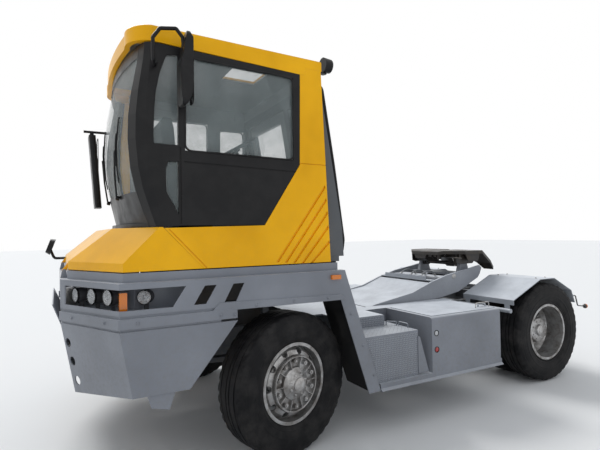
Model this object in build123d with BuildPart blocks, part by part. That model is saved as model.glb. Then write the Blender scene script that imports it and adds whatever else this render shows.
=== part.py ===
from build123d import *
import os
from math import cos, hypot, radians, sin

# A terminal tractor with a narrow cab set flush to the left and a lifting fifth wheel.
# Millimetres, +X forward, +Y to the left, +Z up. The ground is z = 0, y = 0 is the chassis
# centre line and x = 0 is the middle of the overall length. The front wheels stand steered left.

os.makedirs("parts", exist_ok=True)

# Driving dimensions: running gear
wheelbase = 3225
front_axle_x = 1195
rear_axle_x = front_axle_x - wheelbase
tyre_r = 525
rim_flange_r = 300
rim_flange_width = 230
front_tyre_width = 300
rear_tyre_width = 275
twin_spacing = 330
kingpin_y = 900
front_wheel_y = 1085
rear_outer_wheel_y = 1005
parked_steer = 14.5
fit_gap = 0.3

# Driving dimensions: body in plan and in height
half_width = 1250
front_x = 2658
front_half = 650
corner_x = 2346
plate = 8
wing_top_z = 1350
wing_bottom_z = 1150
arch_top_z = 1125
belt_top_z = 1132
belt_bottom_z = 1070
bumper_top_z = 1052
bumper_bottom_z = 640
bumper_nose_z = 560
bumper_rake = 74
band_top_z = 1408
deck_z = 885
sill_z = 350

# Driving dimensions: cab
cab_left = 1200
cab_right = -400
cab_wall = 40
cab_bottom_z = 1415
cowl_z = 1697
waist_z = 1706
cab_rear_x = 793
roof_rear_x = 850
roof_corner_x = 2130
roof_underside = (2840, 2905)
roof_top = (2979, 3012)

# Chamfer line of the body plan as a normal and a distance
chamfer_length = hypot(front_x - corner_x, half_width - front_half)
chamfer_nx = (half_width - front_half) / chamfer_length
chamfer_ny = (front_x - corner_x) / chamfer_length
chamfer_c = chamfer_nx * corner_x + chamfer_ny * half_width


def roof_z(x, ends, drop=0):
    """Height at x of the roof's sloping underside or top, less a drop."""
    return ends[0] + (ends[1] - ends[0]) * (x - roof_rear_x) / (roof_corner_x - roof_rear_x) - drop


def side_plane(y):
    """Plane at y with X to the right and Z up; it extrudes towards -Y."""
    return Plane.XZ.offset(-y)


def body_plan(rear_x, inset=0, shift=0):
    """Corners of the chamfered body outline, moved in by inset and back by shift."""
    front = front_x - inset
    side = half_width - inset
    c = chamfer_c - inset
    nose = (front - shift, (c - chamfer_nx * front) / chamfer_ny)
    corner = ((c - chamfer_ny * side) / chamfer_nx - shift, side)
    left = [(rear_x, side), corner, nose]
    return left + [(x, -y) for x, y in reversed(left)]


# Driving dimensions: lift arm and its cylinders
arm_pivot = Vector(-150, 0, 775)
arm_pin_r = 30
arm_plate = 24
barrel_pin = Vector(-780, 0, 640)
rod_pin = Vector(-1330, 0, 960)
cylinder_y = 230
cylinder_pin_r = 19
rod_pin_r = 16
rod_lug_spread = 36
rod_lug_wall = 12
rod_eye_r = 21
lug_spread = 66
lug_wall = 14

# Chassis: two channel rails, the cross members between them and the towing crosshead at the rear
rail_top_z = 830
rail_height = 220
rail_outer_y = 430
rail_flange = 80
rail_wall = 9
rail_rear_x = -2560
rail_front_x = 2480
rail_mid_z = rail_top_z - rail_height / 2
cross_member_xs = (-2350, -1500, -620, 250, 2050)
cross_member_size = (90, 110)
cross_member_z = 765
crosshead_plate = 20
crosshead_width = 1000
crosshead_height = 300
tow_jaw_length = 150
tow_jaw_width = 160
tow_jaw_z = 640
tow_lip = 25
tow_gap = 90
tow_pin_r = 20
arm_inner_y = rail_outer_y + 6
cab_beam_x = 1010
post_size = 56
bumper_bracket_z = (680, 800)


def bumper_back(z):
    """Place of the bumper plate's inner face at the front at a height."""
    top = bumper_top_z - plate
    return front_x - plate - bumper_rake * (top - z) / (top - plate - bumper_bottom_z)


with BuildPart() as chassis_frame:
    for side in (-1, 1):
        with BuildSketch(Plane.YZ.offset(rail_rear_x)):
            with Locations((side * (rail_outer_y - rail_flange / 2), rail_mid_z)):
                Rectangle(rail_flange, rail_height)
            with Locations((side * (rail_outer_y - rail_flange / 2 - rail_wall), rail_mid_z)):
                Rectangle(rail_flange, rail_height - 2 * rail_wall, mode=Mode.SUBTRACT)
        extrude(amount=rail_front_x - rail_rear_x)
        with BuildSketch(side_plane(side * (arm_inner_y + arm_plate + 4))):
            with Locations((arm_pivot.X, arm_pivot.Z)):
                Circle(arm_pin_r)
        extrude(amount=side * (arm_plate + 16))
        with BuildSketch(side_plane(side * (rail_outer_y + 5))):
            with Locations((arm_pivot.X, arm_pivot.Z)):
                Circle(arm_pin_r + 12)
        extrude(amount=side * 10)
        with Locations((cab_beam_x, side * (rail_outer_y - rail_flange / 2), (rail_top_z - 2 + wing_top_z - fit_gap) / 2)):
            Box(post_size, post_size, wing_top_z - fit_gap - rail_top_z + 2)
        with BuildSketch(side_plane(side * (rail_outer_y - 5))):
            with BuildLine():
                Polyline((rail_front_x - 20, bumper_bracket_z[0]), (rail_front_x - 20, bumper_bracket_z[1]),
                         *[(bumper_back(z) - fit_gap, z) for z in reversed(bumper_bracket_z)], close=True)
            make_face()
        extrude(amount=side * (rail_flange - 10))
chassis_frame.part.label = "chassis_frame"
export_step(chassis_frame.part, "parts/chassis_frame.step")

with BuildPart() as cross_members:
    for x in cross_member_xs:
        with Locations((x, 0, cross_member_z)):
            Box(cross_member_size[0], 2 * (rail_outer_y - rail_wall), cross_member_size[1])
    for side in (-1, 1):
        for y in (cylinder_y - lug_spread, cylinder_y + lug_spread):
            with BuildSketch(side_plane(side * y)):
                with BuildLine():
                    Polyline((barrel_pin.X - 34, barrel_pin.Z - 34), (barrel_pin.X - 34, barrel_pin.Z + 30),
                             (cross_member_xs[2] - 40, rail_top_z - 60), (cross_member_xs[2] - 40, barrel_pin.Z - 34),
                             close=True)
                make_face()
            extrude(amount=lug_wall / 2, both=True)
        with BuildSketch(side_plane(side * (cylinder_y + lug_spread + 12))):
            with Locations((barrel_pin.X, barrel_pin.Z)):
                Circle(cylinder_pin_r)
        extrude(amount=side * 2 * (lug_spread + 12))
cross_members.part.label = "cross_members"
export_step(cross_members.part, "parts/cross_members.step")

with BuildPart() as rear_crosshead:
    with Locations((rail_rear_x - crosshead_plate / 2, 0, rail_mid_z)):
        Box(crosshead_plate, crosshead_width, crosshead_height)
    jaw_x = rail_rear_x - crosshead_plate - tow_jaw_length / 2
    for z in (tow_jaw_z - (tow_gap + tow_lip) / 2, tow_jaw_z + (tow_gap + tow_lip) / 2):
        with Locations((jaw_x, 0, z)):
            Box(tow_jaw_length, tow_jaw_width, tow_lip)
    with BuildSketch(Plane.XY.offset(tow_jaw_z - tow_gap)):
        with Locations((jaw_x - tow_jaw_length / 6, 0)):
            Circle(tow_pin_r)
    extrude(amount=2 * tow_gap, mode=Mode.SUBTRACT)
rear_crosshead.part.label = "rear_crosshead"
export_step(rear_crosshead.part, "parts/rear_crosshead.step")

# Front bumper: raked ring of plate that runs deeper at the nose, with a raised front plate
bumper_rear_top_x = 1584
bumper_rear_bottom_x = 1917
bumper_lip = 55
bumper_hole_r = 32
bumper_holes = [(630, 135), (622, 263), (610, 398)]
bumper_slope = bumper_rake / (bumper_top_z - bumper_bottom_z)
raised_top_z = 1172
raised_lean = 52
raised_half = (front_half - 4, front_half - 62)
skid = [(2000, 670), (2195, 670), (2160, 560), (2048, 532)]

with BuildPart() as front_bumper:
    for inset, way in ((0, Mode.ADD), (plate, Mode.SUBTRACT)):
        for level in (bumper_top_z - inset, bumper_nose_z):
            with BuildSketch(Plane.XY.offset(level)):
                with BuildLine():
                    Polyline(body_plan(bumper_rear_top_x - 200, inset, bumper_slope * (bumper_top_z - level)), close=True)
                make_face()
        loft(ruled=True, mode=way)
    with BuildSketch(Plane.XY.offset(bumper_top_z - plate - 1)):
        with BuildLine():
            Polyline(body_plan(bumper_rear_top_x - 300, bumper_lip, 0), close=True)
        make_face()
    extrude(amount=plate + 2, mode=Mode.SUBTRACT)
    with BuildSketch(side_plane(0)):
        with BuildLine():
            Polyline((bumper_rear_top_x, bumper_top_z + 50), (bumper_rear_top_x, bumper_top_z),
                     (bumper_rear_bottom_x, bumper_bottom_z), (corner_x - bumper_rake, bumper_bottom_z),
                     (front_x - bumper_slope * (bumper_top_z - bumper_nose_z) - 2, bumper_nose_z),
                     (front_x, bumper_nose_z), (front_x, bumper_nose_z - 90), (bumper_rear_top_x - 300, bumper_nose_z - 90),
                     (bumper_rear_top_x - 300, bumper_top_z + 50), close=True)
        make_face()
    extrude(amount=2 * half_width, both=True, mode=Mode.SUBTRACT)
    for back, drop in bumper_holes:
        z = bumper_top_z - drop
        x, y = body_plan(0, 0, bumper_slope * drop)[1]
        for side in (-1, 1):
            hole = Vector(x + back * chamfer_ny, side * (y - back * chamfer_nx), z)
            with BuildSketch(Plane(origin=hole, z_dir=(chamfer_nx, side * chamfer_ny, 0))):
                Circle(bumper_hole_r)
            extrude(amount=30, both=True, mode=Mode.SUBTRACT)
    for z, x, half in ((bumper_top_z - 20, front_x - bumper_slope * 20, raised_half[0]),
                       (raised_top_z, front_x + raised_lean, raised_half[1])):
        with BuildSketch(Plane.XY.offset(z)):
            with Locations((x - plate / 2, 0)):
                Rectangle(plate, 2 * half)
    loft(ruled=True)
    for side in (-1, 1):
        with BuildSketch(side_plane(side * (half_width - plate + 1))):
            with BuildLine():
                Polyline(skid, close=True)
            make_face()
        extrude(amount=side * (plate + 1))
front_bumper.part.label = "front_bumper"
export_step(front_bumper.part, "parts/front_bumper.step")

# Wing frame: lamp band round the front, wing sides over the wheels, rear legs, belt strip and hood band
wing_rear_x = 696
leg_tip_x = 367
leg_inner_x = 483
arch_rear_x = 738
arch_front_x = 1676
belt_rear_x = 1590
wing_flange = 60
band_inset = 45
leg_flange = 70
lamp_gap_z = (1182, 1311)
lamp_gap_rear = (1938, 2023)
lamp_gap_y = 700
lamp_tray_depth = 190
slots = [(1812, 1732, 1887, 1805), (1612, 1533, 1679, 1594)]
strip_out = 8
arch_strip = [(1770, 1124), (1714, 1180), (735, 1164), (700, 1126), (744, 1122), (1640, 1127)]
cab_beam_width = 90
cab_beam_height = 50
cab_mount_ys = (cab_left - 60, cab_right + 70)
tilt_pin = Vector(2632, 0, 1398)
tilt_pin_r = 8
tilt_ears = (-500, 500)
tilt_ear_half = 12
tilt_lug = 10

with BuildPart() as wing_frame:
    with BuildSketch(Plane.XY.offset(wing_bottom_z)):
        with BuildLine():
            Polyline(body_plan(arch_front_x), close=True)
        make_face()
        with BuildLine():
            Polyline(body_plan(arch_front_x - 100, plate), close=True)
        make_face(mode=Mode.SUBTRACT)
    extrude(amount=wing_top_z - wing_bottom_z)
    with BuildSketch(Plane.XY.offset(wing_top_z - plate)):
        with BuildLine():
            Polyline(body_plan(wing_rear_x), close=True)
        make_face()
        with BuildLine():
            Polyline(body_plan(wing_rear_x - 100, wing_flange), close=True)
        make_face(mode=Mode.SUBTRACT)
    extrude(amount=plate)
    with BuildSketch(Plane.XY.offset(wing_top_z - plate)):
        with BuildLine():
            Polyline(body_plan(wing_rear_x + 40, band_inset), close=True)
        make_face()
        with BuildLine():
            Polyline(body_plan(wing_rear_x - 100, band_inset + plate), close=True)
        make_face(mode=Mode.SUBTRACT)
    extrude(amount=band_top_z - wing_top_z + plate)
    with BuildSketch(Plane.XY.offset(belt_bottom_z)):
        with BuildLine():
            Polyline(body_plan(belt_rear_x, -10), close=True)
        make_face()
        with BuildLine():
            Polyline(body_plan(belt_rear_x - 100, plate), close=True)
        make_face(mode=Mode.SUBTRACT)
    extrude(amount=belt_top_z - belt_bottom_z)
    with Locations((front_x, 0, (belt_top_z + belt_bottom_z) / 2)):
        Box(80, 2 * (front_half + 6), belt_top_z - belt_bottom_z + 2, mode=Mode.SUBTRACT)
    with BuildSketch(Plane.XY.offset(bumper_top_z)):
        with BuildLine():
            Polyline(body_plan(arch_front_x + 24, plate), close=True)
        make_face()
        with BuildLine():
            Polyline(body_plan(arch_front_x - 100, 3 * plate), close=True)
        make_face(mode=Mode.SUBTRACT)
    extrude(amount=wing_bottom_z + 10 - bumper_top_z)
    for side in (-1, 1):
        outer = side * half_width
        with BuildSketch(side_plane(outer)):
            with BuildLine():
                Polyline((wing_rear_x, wing_top_z), (leg_tip_x, sill_z), (leg_inner_x, sill_z),
                         (arch_rear_x, arch_top_z), (arch_front_x, arch_top_z),
                         (arch_front_x + 40, wing_bottom_z), (arch_front_x + 40, wing_top_z), close=True)
            make_face()
        extrude(amount=side * plate)
        with BuildSketch(side_plane(outer)):
            with BuildLine():
                Polyline((wing_rear_x, wing_top_z), (leg_tip_x, sill_z), (leg_tip_x + plate, sill_z),
                         (wing_rear_x + plate, wing_top_z), close=True)
            make_face()
        extrude(amount=side * leg_flange)
        with BuildSketch(side_plane(outer + side * strip_out)):
            with BuildLine():
                Polyline(arch_strip, close=True)
            make_face()
        extrude(amount=side * (strip_out + plate / 2))
        with BuildSketch(side_plane(side * (half_width + 20))):
            with BuildLine():
                Polyline((lamp_gap_rear[0], lamp_gap_z[1]), (lamp_gap_rear[1], lamp_gap_z[0]),
                         (front_x + 50, lamp_gap_z[0]), (front_x + 50, lamp_gap_z[1]), close=True)
            make_face()
            for top_front, top_rear, bottom_front, bottom_rear in slots:
                with BuildLine():
                    Polyline((top_front, 1305), (bottom_front, 1183), (bottom_rear, 1183), (top_rear, 1305),
                             close=True)
                make_face()
        extrude(amount=side * (half_width + 20 - lamp_gap_y), mode=Mode.SUBTRACT)
    with BuildSketch(Plane.XY.offset(wing_bottom_z)):
        with BuildLine():
            Polyline(body_plan(lamp_gap_rear[0] - 60, lamp_tray_depth), close=True)
        make_face()
        with BuildLine():
            Polyline(body_plan(lamp_gap_rear[0] - 160, lamp_tray_depth + plate), close=True)
        make_face(mode=Mode.SUBTRACT)
    extrude(amount=wing_top_z - wing_bottom_z)
    for z in (wing_bottom_z, wing_top_z - plate):
        with BuildSketch(Plane.XY.offset(z)):
            with BuildLine():
                Polyline(body_plan(lamp_gap_rear[0] - 60), close=True)
            make_face()
            with BuildLine():
                Polyline(body_plan(lamp_gap_rear[0] - 160, lamp_tray_depth + plate), close=True)
            make_face(mode=Mode.SUBTRACT)
        extrude(amount=plate)
    with Locations((cab_beam_x, 0, wing_top_z + (cab_beam_height / 2))):
        Box(cab_beam_width, 2 * (half_width - band_inset), cab_beam_height)
    for y in cab_mount_ys:
        with BuildSketch(Plane.XY.offset(wing_top_z + cab_beam_height - 1)):
            with Locations((cab_beam_x, y)):
                Rectangle(cab_beam_width, 60)
        extrude(amount=cab_bottom_z - fit_gap - wing_top_z - cab_beam_height + 1)
    for y in tilt_ears:
        for gap in (-tilt_ear_half - 4 - tilt_lug, tilt_ear_half + 4):
            with BuildSketch(side_plane(y + gap + tilt_lug)):
                with BuildLine():
                    Polyline((front_x - 46, wing_top_z - 2), (front_x - 2, wing_top_z - 2),
                             (tilt_pin.X + 13, tilt_pin.Z), (tilt_pin.X - 13, tilt_pin.Z), close=True)
                make_face()
                with Locations((tilt_pin.X, tilt_pin.Z)):
                    Circle(13)
            extrude(amount=tilt_lug)
        with BuildSketch(side_plane(y)):
            with Locations((tilt_pin.X, tilt_pin.Z)):
                Circle(tilt_pin_r)
        extrude(amount=tilt_ear_half + 6, both=True)
wing_frame.part.label = "wing_frame"
export_step(wing_frame.part, "parts/wing_frame.step")

# Rubber linings that follow the wheel arches inside the wing frame
lining_wall = 6
lining_inner_y = 915
lining_path = [(leg_inner_x - 12, 360), (arch_rear_x - 12, arch_top_z + 10), (arch_front_x + 5, arch_top_z + 10)]

with BuildPart() as arch_linings:
    for side in (-1, 1):
        with BuildSketch(side_plane(side * (half_width - plate - 0.3))):
            with BuildLine():
                Polyline(lining_path + [(x - lining_wall * 0.6, z + lining_wall) for x, z in reversed(lining_path)],
                         close=True)
            make_face()
        extrude(amount=side * (half_width - plate - 0.3 - lining_inner_y))
arch_linings.part.label = "arch_linings"
export_step(arch_linings.part, "parts/arch_linings.step")

# Head lamps: round lamps in the recess behind each opening, facing along the chamfer and along X
lamp_z = 1247
lamp_depth = 60
lamp_floor_z = wing_bottom_z + plate + fit_gap
lamp_places = [(front_x - 98, front_half + 110, 46, 20), (front_x - 188, front_half + 255, 50, 25),
               (front_x - 273, front_half + 390, 50, 27), (corner_x - 166, half_width - 100, 44, 62)]

with BuildPart() as headlamps:
    for side in (-1, 1):
        for x, y, r, turn in lamp_places:
            aim = Vector(cos(radians(turn)), side * sin(radians(turn)), 0)
            with BuildSketch(Plane(origin=(x - 60 * aim.X, side * y - 60 * aim.Y, lamp_z), x_dir=(0, 0, 1), z_dir=aim)):
                Circle(r)
            extrude(amount=lamp_depth, taper=-4)
            foot_top = lamp_z - r + 12
            with Locations(Vector(x - 34 * aim.X, side * y - 34 * aim.Y, (foot_top + lamp_floor_z) / 2)):
                Box(26, 26, foot_top - lamp_floor_z)
headlamps.part.label = "headlamps"
export_step(headlamps.part, "parts/headlamps.step")

# Tyres and wheels: revolved about each wheel's own axle line
rim_seat_r = 286
rim_wall = 10
hub_r = 118
spindle_r = 50
bolt_circle_r = 167.5
nut_r = 18
hand_hole_place = 235
hand_hole_r = 26
bead_half = rim_flange_width / 2 - 8 - fit_gap


def axle_plane(centre, out):
    """Plane through the axle line: X is up, Y points outboard along the axle."""
    return Plane(origin=centre, x_dir=(0, 0, 1), z_dir=(-out.Y, out.X, 0))


def face_plane(centre, out, outboard):
    """Plane square to the axle line, outboard of the wheel centre."""
    return Plane(origin=Vector(*centre) + out * outboard, x_dir=(0, 0, 1), z_dir=out)


def tyre_profile(half, place):
    """Half-section of a tyre as radius and place along the axle."""
    right = [(rim_seat_r + fit_gap, bead_half), (rim_flange_r + fit_gap, bead_half), (rim_flange_r + 8, bead_half + 14),
             (410, half), (495, half - 8), (tyre_r, half - 38)]
    points = [(r, place + w) for r, w in right] + [(r, place - w) for r, w in reversed(right)]
    return points


def rim_profile(place):
    """Section of a rim barrel with a flange at each edge."""
    half = rim_flange_width / 2
    section = [(rim_seat_r - rim_wall, -half), (rim_flange_r, -half), (rim_flange_r, 8 - half), (rim_seat_r, 8 - half),
               (rim_seat_r, half - 8), (rim_flange_r, half - 8), (rim_flange_r, half), (rim_seat_r - rim_wall, half)]
    return [(r, place + w) for r, w in section]


steer = radians(parked_steer)
for name, side in (("left", 1), ("right", -1)):
    out = Vector(-side * sin(steer), side * cos(steer), 0)
    pin = Vector(front_axle_x, side * kingpin_y, tyre_r)
    centre = pin + out * (front_wheel_y - kingpin_y)
    with BuildPart() as front_tyre:
        with BuildSketch(axle_plane(centre, out)):
            with BuildLine():
                Polyline(tyre_profile(front_tyre_width / 2, 0), close=True)
            make_face()
        revolve(axis=Axis(centre, out))
    front_tyre.part.label = f"front_{name}_tyre"
    export_step(front_tyre.part, f"parts/front_{name}_tyre.step")

    with BuildPart() as front_rim:
        with BuildSketch(axle_plane(centre, out)):
            with BuildLine():
                Polyline(rim_profile(0), close=True)
            make_face()
            with BuildLine():
                Polyline([(278, 20), (278, 36), (240, 84), (198, 100), (120, 100), (120, 86), (190, 86), (232, 72)],
                         close=True)
            make_face()
            with BuildLine():
                Polyline([(spindle_r + fit_gap, -84), (205, -84), (205, 50), (150, 86), (hub_r, 86), (hub_r, 122),
                          (88, 140), (60, 168), (0, 175), (0, 20), (spindle_r + fit_gap, 20)], close=True)
            make_face()
        revolve(axis=Axis(centre, out))
        with BuildSketch(face_plane(centre, out, 10)):
            with PolarLocations(hand_hole_place, 10, start_angle=18):
                Circle(hand_hole_r)
        extrude(amount=110, mode=Mode.SUBTRACT)
        with BuildSketch(face_plane(centre, out, 98)):
            with PolarLocations(bolt_circle_r, 10):
                RegularPolygon(nut_r, 6)
        extrude(amount=34)
    front_rim.part.label = f"front_{name}_rim"
    export_step(front_rim.part, f"parts/front_{name}_rim.step")

for name, side in (("left", 1), ("right", -1)):
    out = Vector(0, side, 0)
    centre = Vector(rear_axle_x, side * rear_outer_wheel_y, tyre_r)
    with BuildPart() as rear_tyres:
        with BuildSketch(axle_plane(centre, out)):
            for place in (0, -twin_spacing):
                with BuildLine():
                    Polyline(tyre_profile(rear_tyre_width / 2, place), close=True)
                make_face()
        revolve(axis=Axis(centre, out))
    rear_tyres.part.label = f"rear_{name}_tyres"
    export_step(rear_tyres.part, f"parts/rear_{name}_tyres.step")

    middle = -twin_spacing / 2
    with BuildPart() as rear_rims:
        with BuildSketch(axle_plane(centre, out)):
            for place, turn in ((0, 1), (-twin_spacing, -1)):
                with BuildLine():
                    Polyline(rim_profile(place), close=True)
                make_face()
                with BuildLine():
                    Polyline([(r, middle + turn * w) for r, w in
                              ((278, 70), (278, 88), (236, 32), (204, 14), (120, 14), (120, 0), (206, 0), (246, 16))],
                             close=True)
                make_face()
            with BuildLine():
                Polyline([(r, middle + w) for r, w in
                          ((spindle_r + 20 + fit_gap, -235), (205, -235), (205, -70), (150, -30), (150, 60), (142, 140),
                           (128, 168), (62, 172), (54, 188), (0, 188), (0, 40), (spindle_r + 20 + fit_gap, 40))],
                         close=True)
            make_face()
        revolve(axis=Axis(centre, out))
        with BuildSketch(face_plane(centre, out, middle - 60)):
            with PolarLocations(222, 10, start_angle=18):
                Circle(24)
        extrude(amount=120, mode=Mode.SUBTRACT)
        with BuildSketch(face_plane(centre, out, middle + 12)):
            with PolarLocations(bolt_circle_r + 6, 10):
                RegularPolygon(nut_r, 6)
        extrude(amount=34)
    rear_rims.part.label = f"rear_{name}_rims"
    export_step(rear_rims.part, f"parts/rear_{name}_rims.step")

# Front axle: dropped beam with an eye at each end, leaf springs and their bolts
eye_r = 52
eye_height = 120
kingpin_r = 28
beam_depth = 90
beam_web = 40
spring_y = 390
spring_width = 78
spring_half = 740
spring_top_z = rail_top_z - rail_height - 12
spring_seat_z = 535

with BuildPart() as front_axle:
    beam = [(-kingpin_y + 30, 485), (-700, 470), (-560, 430), (560, 430), (700, 470), (kingpin_y - 30, 485),
            (kingpin_y - 30, 565), (690, 560), (540, spring_seat_z), (-540, spring_seat_z), (-690, 560), (-kingpin_y + 30, 565)]
    with BuildSketch(Plane.YZ.offset(front_axle_x)):
        with BuildLine():
            Polyline(beam, close=True)
        make_face()
    extrude(amount=beam_depth / 2, both=True)
    for face in (beam_web / 2, -beam_web / 2):
        with BuildSketch(Plane.YZ.offset(front_axle_x + face)):
            with BuildLine():
                Polyline([(-700, 492), (-560, 452), (560, 452), (700, 492), (690, 538), (540, 513), (-540, 513),
                          (-690, 538)], close=True)
            make_face()
        extrude(amount=face * 2, mode=Mode.SUBTRACT)
    for side in (-1, 1):
        with Locations((front_axle_x, side * kingpin_y, tyre_r)):
            Cylinder(eye_r, eye_height)
    for side in (-1, 1):
        with Locations((front_axle_x, side * kingpin_y, tyre_r)):
            Cylinder(kingpin_r + fit_gap, eye_height + 2, mode=Mode.SUBTRACT)
    for side in (-1, 1):
        with BuildSketch(side_plane(side * spring_y)):
            with BuildLine():
                Polyline((front_axle_x - spring_half, spring_top_z), (front_axle_x - spring_half, spring_top_z - 30),
                         (front_axle_x - 480, spring_top_z - 38), (front_axle_x - 60, spring_seat_z - 1),
                         (front_axle_x + 60, spring_seat_z - 1), (front_axle_x + 480, spring_top_z - 38),
                         (front_axle_x + spring_half, spring_top_z - 30), (front_axle_x + spring_half, spring_top_z),
                         (front_axle_x, spring_top_z - 16), close=True)
            make_face()
        extrude(amount=spring_width / 2, both=True)
        for x in (front_axle_x - spring_half + 20, front_axle_x + spring_half - 20):
            with Locations((x, side * spring_y, spring_top_z - 6)):
                Box(60, spring_width, 36 - 2 * fit_gap)
        for x in (front_axle_x - 58, front_axle_x + 58):
            with Locations((x, side * spring_y, (spring_seat_z + spring_top_z) / 2 - 20)):
                Box(18, spring_width + 36, 120)
front_axle.part.label = "front_axle"
export_step(front_axle.part, "parts/front_axle.step")

# Steering knuckles with kingpin, yoke, spindle and arm, and the tie rod between the arms
yoke_gap = 3
yoke_wall = 30
arm_reach = 170
tie_rod_r = 18
tie_rod_z = tyre_r - eye_height / 2 - yoke_gap - yoke_wall - 40
forward = Vector(cos(steer), sin(steer), 0)

for name, side in (("left", 1), ("right", -1)):
    out = Vector(-side * sin(steer), side * cos(steer), 0)
    pin = Vector(front_axle_x, side * kingpin_y, tyre_r)
    low_z = tyre_r - eye_height / 2 - yoke_gap - yoke_wall
    high_z = tyre_r + eye_height / 2 + yoke_gap
    with BuildPart() as knuckle:
        with Locations((pin.X, pin.Y, tyre_r)):
            Cylinder(kingpin_r, eye_height + 2 * yoke_gap + 2 * yoke_wall - 4)
        for z in (low_z, high_z):
            with BuildSketch(Plane(origin=(pin.X, pin.Y, z), x_dir=forward, z_dir=(0, 0, 1))):
                Circle(48)
                with Locations((0, side * 45)):
                    Rectangle(96, 90)
            extrude(amount=yoke_wall)
        with BuildSketch(Plane(origin=(pin.X, pin.Y, low_z), x_dir=forward, z_dir=(0, 0, 1))):
            with Locations((0, side * 79)):
                Rectangle(110, 30)
            with Locations((-arm_reach / 2, 0)):
                SlotOverall(arm_reach + 70, 60)
        extrude(amount=yoke_wall)
        with BuildSketch(Plane(origin=(pin.X, pin.Y, low_z), x_dir=forward, z_dir=(0, 0, 1))):
            with Locations((0, side * 79)):
                Rectangle(110, 30)
        extrude(amount=high_z + yoke_wall - low_z)
        with BuildSketch(face_plane(pin, out, 80)):
            Circle(spindle_r)
        extrude(amount=116)
        with Locations((pin + forward * -arm_reach) - Vector(0, 0, tyre_r - low_z)):
            Cylinder(14, 40, align=(Align.CENTER, Align.CENTER, Align.MAX))
    knuckle.part.label = f"knuckle_{name}"
    export_step(knuckle.part, f"parts/knuckle_{name}.step")

rod_ends = [Vector(front_axle_x, side * kingpin_y, tie_rod_z) - forward * arm_reach for side in (1, -1)]
with BuildPart() as tie_rod:
    with BuildSketch(Plane(origin=rod_ends[0], x_dir=(1, 0, 0), z_dir=(0, -1, 0))):
        Circle(tie_rod_r)
    extrude(amount=2 * kingpin_y)
    for end in rod_ends:
        with Locations(end):
            Cylinder(30, 36)
    for end in rod_ends:
        with Locations(end):
            Cylinder(14 + fit_gap, 60, mode=Mode.SUBTRACT)
tie_rod.part.label = "tie_rod"
export_step(tie_rod.part, "parts/tie_rod.step")

# Rear axle: housing with its differential, hub reductions' stubs and the seats under the rails
rear_tube_r = 72
rear_tube_half = 560
banjo_r = 205

with BuildPart() as rear_axle:
    with BuildSketch(Plane.XY.offset(tyre_r)):
        with BuildLine():
            Polyline((rear_axle_x, -rear_tube_half), (rear_axle_x + rear_tube_r, -rear_tube_half),
                     (rear_axle_x + rear_tube_r, -240), (rear_axle_x + banjo_r, -70), (rear_axle_x + banjo_r, 70),
                     (rear_axle_x + rear_tube_r, 240), (rear_axle_x + rear_tube_r, rear_tube_half),
                     (rear_axle_x, rear_tube_half), close=True)
        make_face()
    revolve(axis=Axis((rear_axle_x, 0, tyre_r), (0, 1, 0)))
    for side in (-1, 1):
        with BuildSketch(face_plane((rear_axle_x, 0, tyre_r), Vector(0, side, 0), rear_tube_half - 10)):
            Circle(spindle_r + 20)
        extrude(amount=300)
        with Locations((rear_axle_x, side * (rail_outer_y - rail_flange / 2), (tyre_r + rail_top_z - rail_height) / 2)):
            Box(170, rail_flange, rail_top_z - rail_height - tyre_r - 2 * fit_gap)
    with BuildSketch(Plane.YZ.offset(rear_axle_x + banjo_r - 60)):
        with Locations((0, tyre_r)):
            Circle(85)
    extrude(amount=150, taper=8)
rear_axle.part.label = "rear_axle"
export_step(rear_axle.part, "parts/rear_axle.step")

# Engine, gearbox and propeller shaft
engine_box = ((1000, -330, 600), (1980, 330, 1320))
gearbox_box = ((420, -230, 480), (1000, 230, 700))
mount_y = (engine_box[1][1] - 5, rail_outer_y - rail_flange - fit_gap)
shaft_r = 45
shaft_front = Vector(420, 0, 600)
shaft_rear = Vector(rear_axle_x + banjo_r + 90 + fit_gap, 0, tyre_r + 5)

with BuildPart() as drive_train:
    for low, high in (engine_box, gearbox_box):
        with Locations(Vector(*[(a + b) / 2 for a, b in zip(low, high)])):
            Box(*[b - a for a, b in zip(low, high)])
    with BuildSketch(Plane(origin=shaft_front + Vector(10, 0, 0), x_dir=(0, 1, 0), z_dir=shaft_rear - shaft_front)):
        Circle(shaft_r)
    extrude(amount=(shaft_rear - shaft_front).length + 8.3)
    for side in (-1, 1):
        for x in (1150, 1850):
            with Locations((x, side * (sum(mount_y) / 2), engine_box[0][2] + 140)):
                Box(120, mount_y[1] - mount_y[0], 80)
drive_train.part.label = "drive_train"
export_step(drive_train.part, "parts/drive_train.step")

# Left side box with its sill, the checker steps in front of it, the gusset and the box's brackets
box_front_x = -203
box_rear_x = -1090
box_bottom_z = 400
box_inner_y = 620
box_wall = 5
box_edge_r = 28
lid_outer_y = 1205
lid_wall = 5
lid_margin = 12
sill_rear_x = -1104
bracket_z = 652
bracket_height = 80
sill_out = 22
step_z = 790
step_front_x = 500
step_rear_x = -65
riser_rear_x = 50
step_outer_y = 1218
step_inner_y = 905
leg_slope = (wing_rear_x - leg_tip_x) / (wing_top_z - sill_z)
lid_box = (box_rear_x + 18, box_front_x - 42)
round_lamps = [(-256, 745), (-258, 601)]
round_lamp_r = 26

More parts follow.
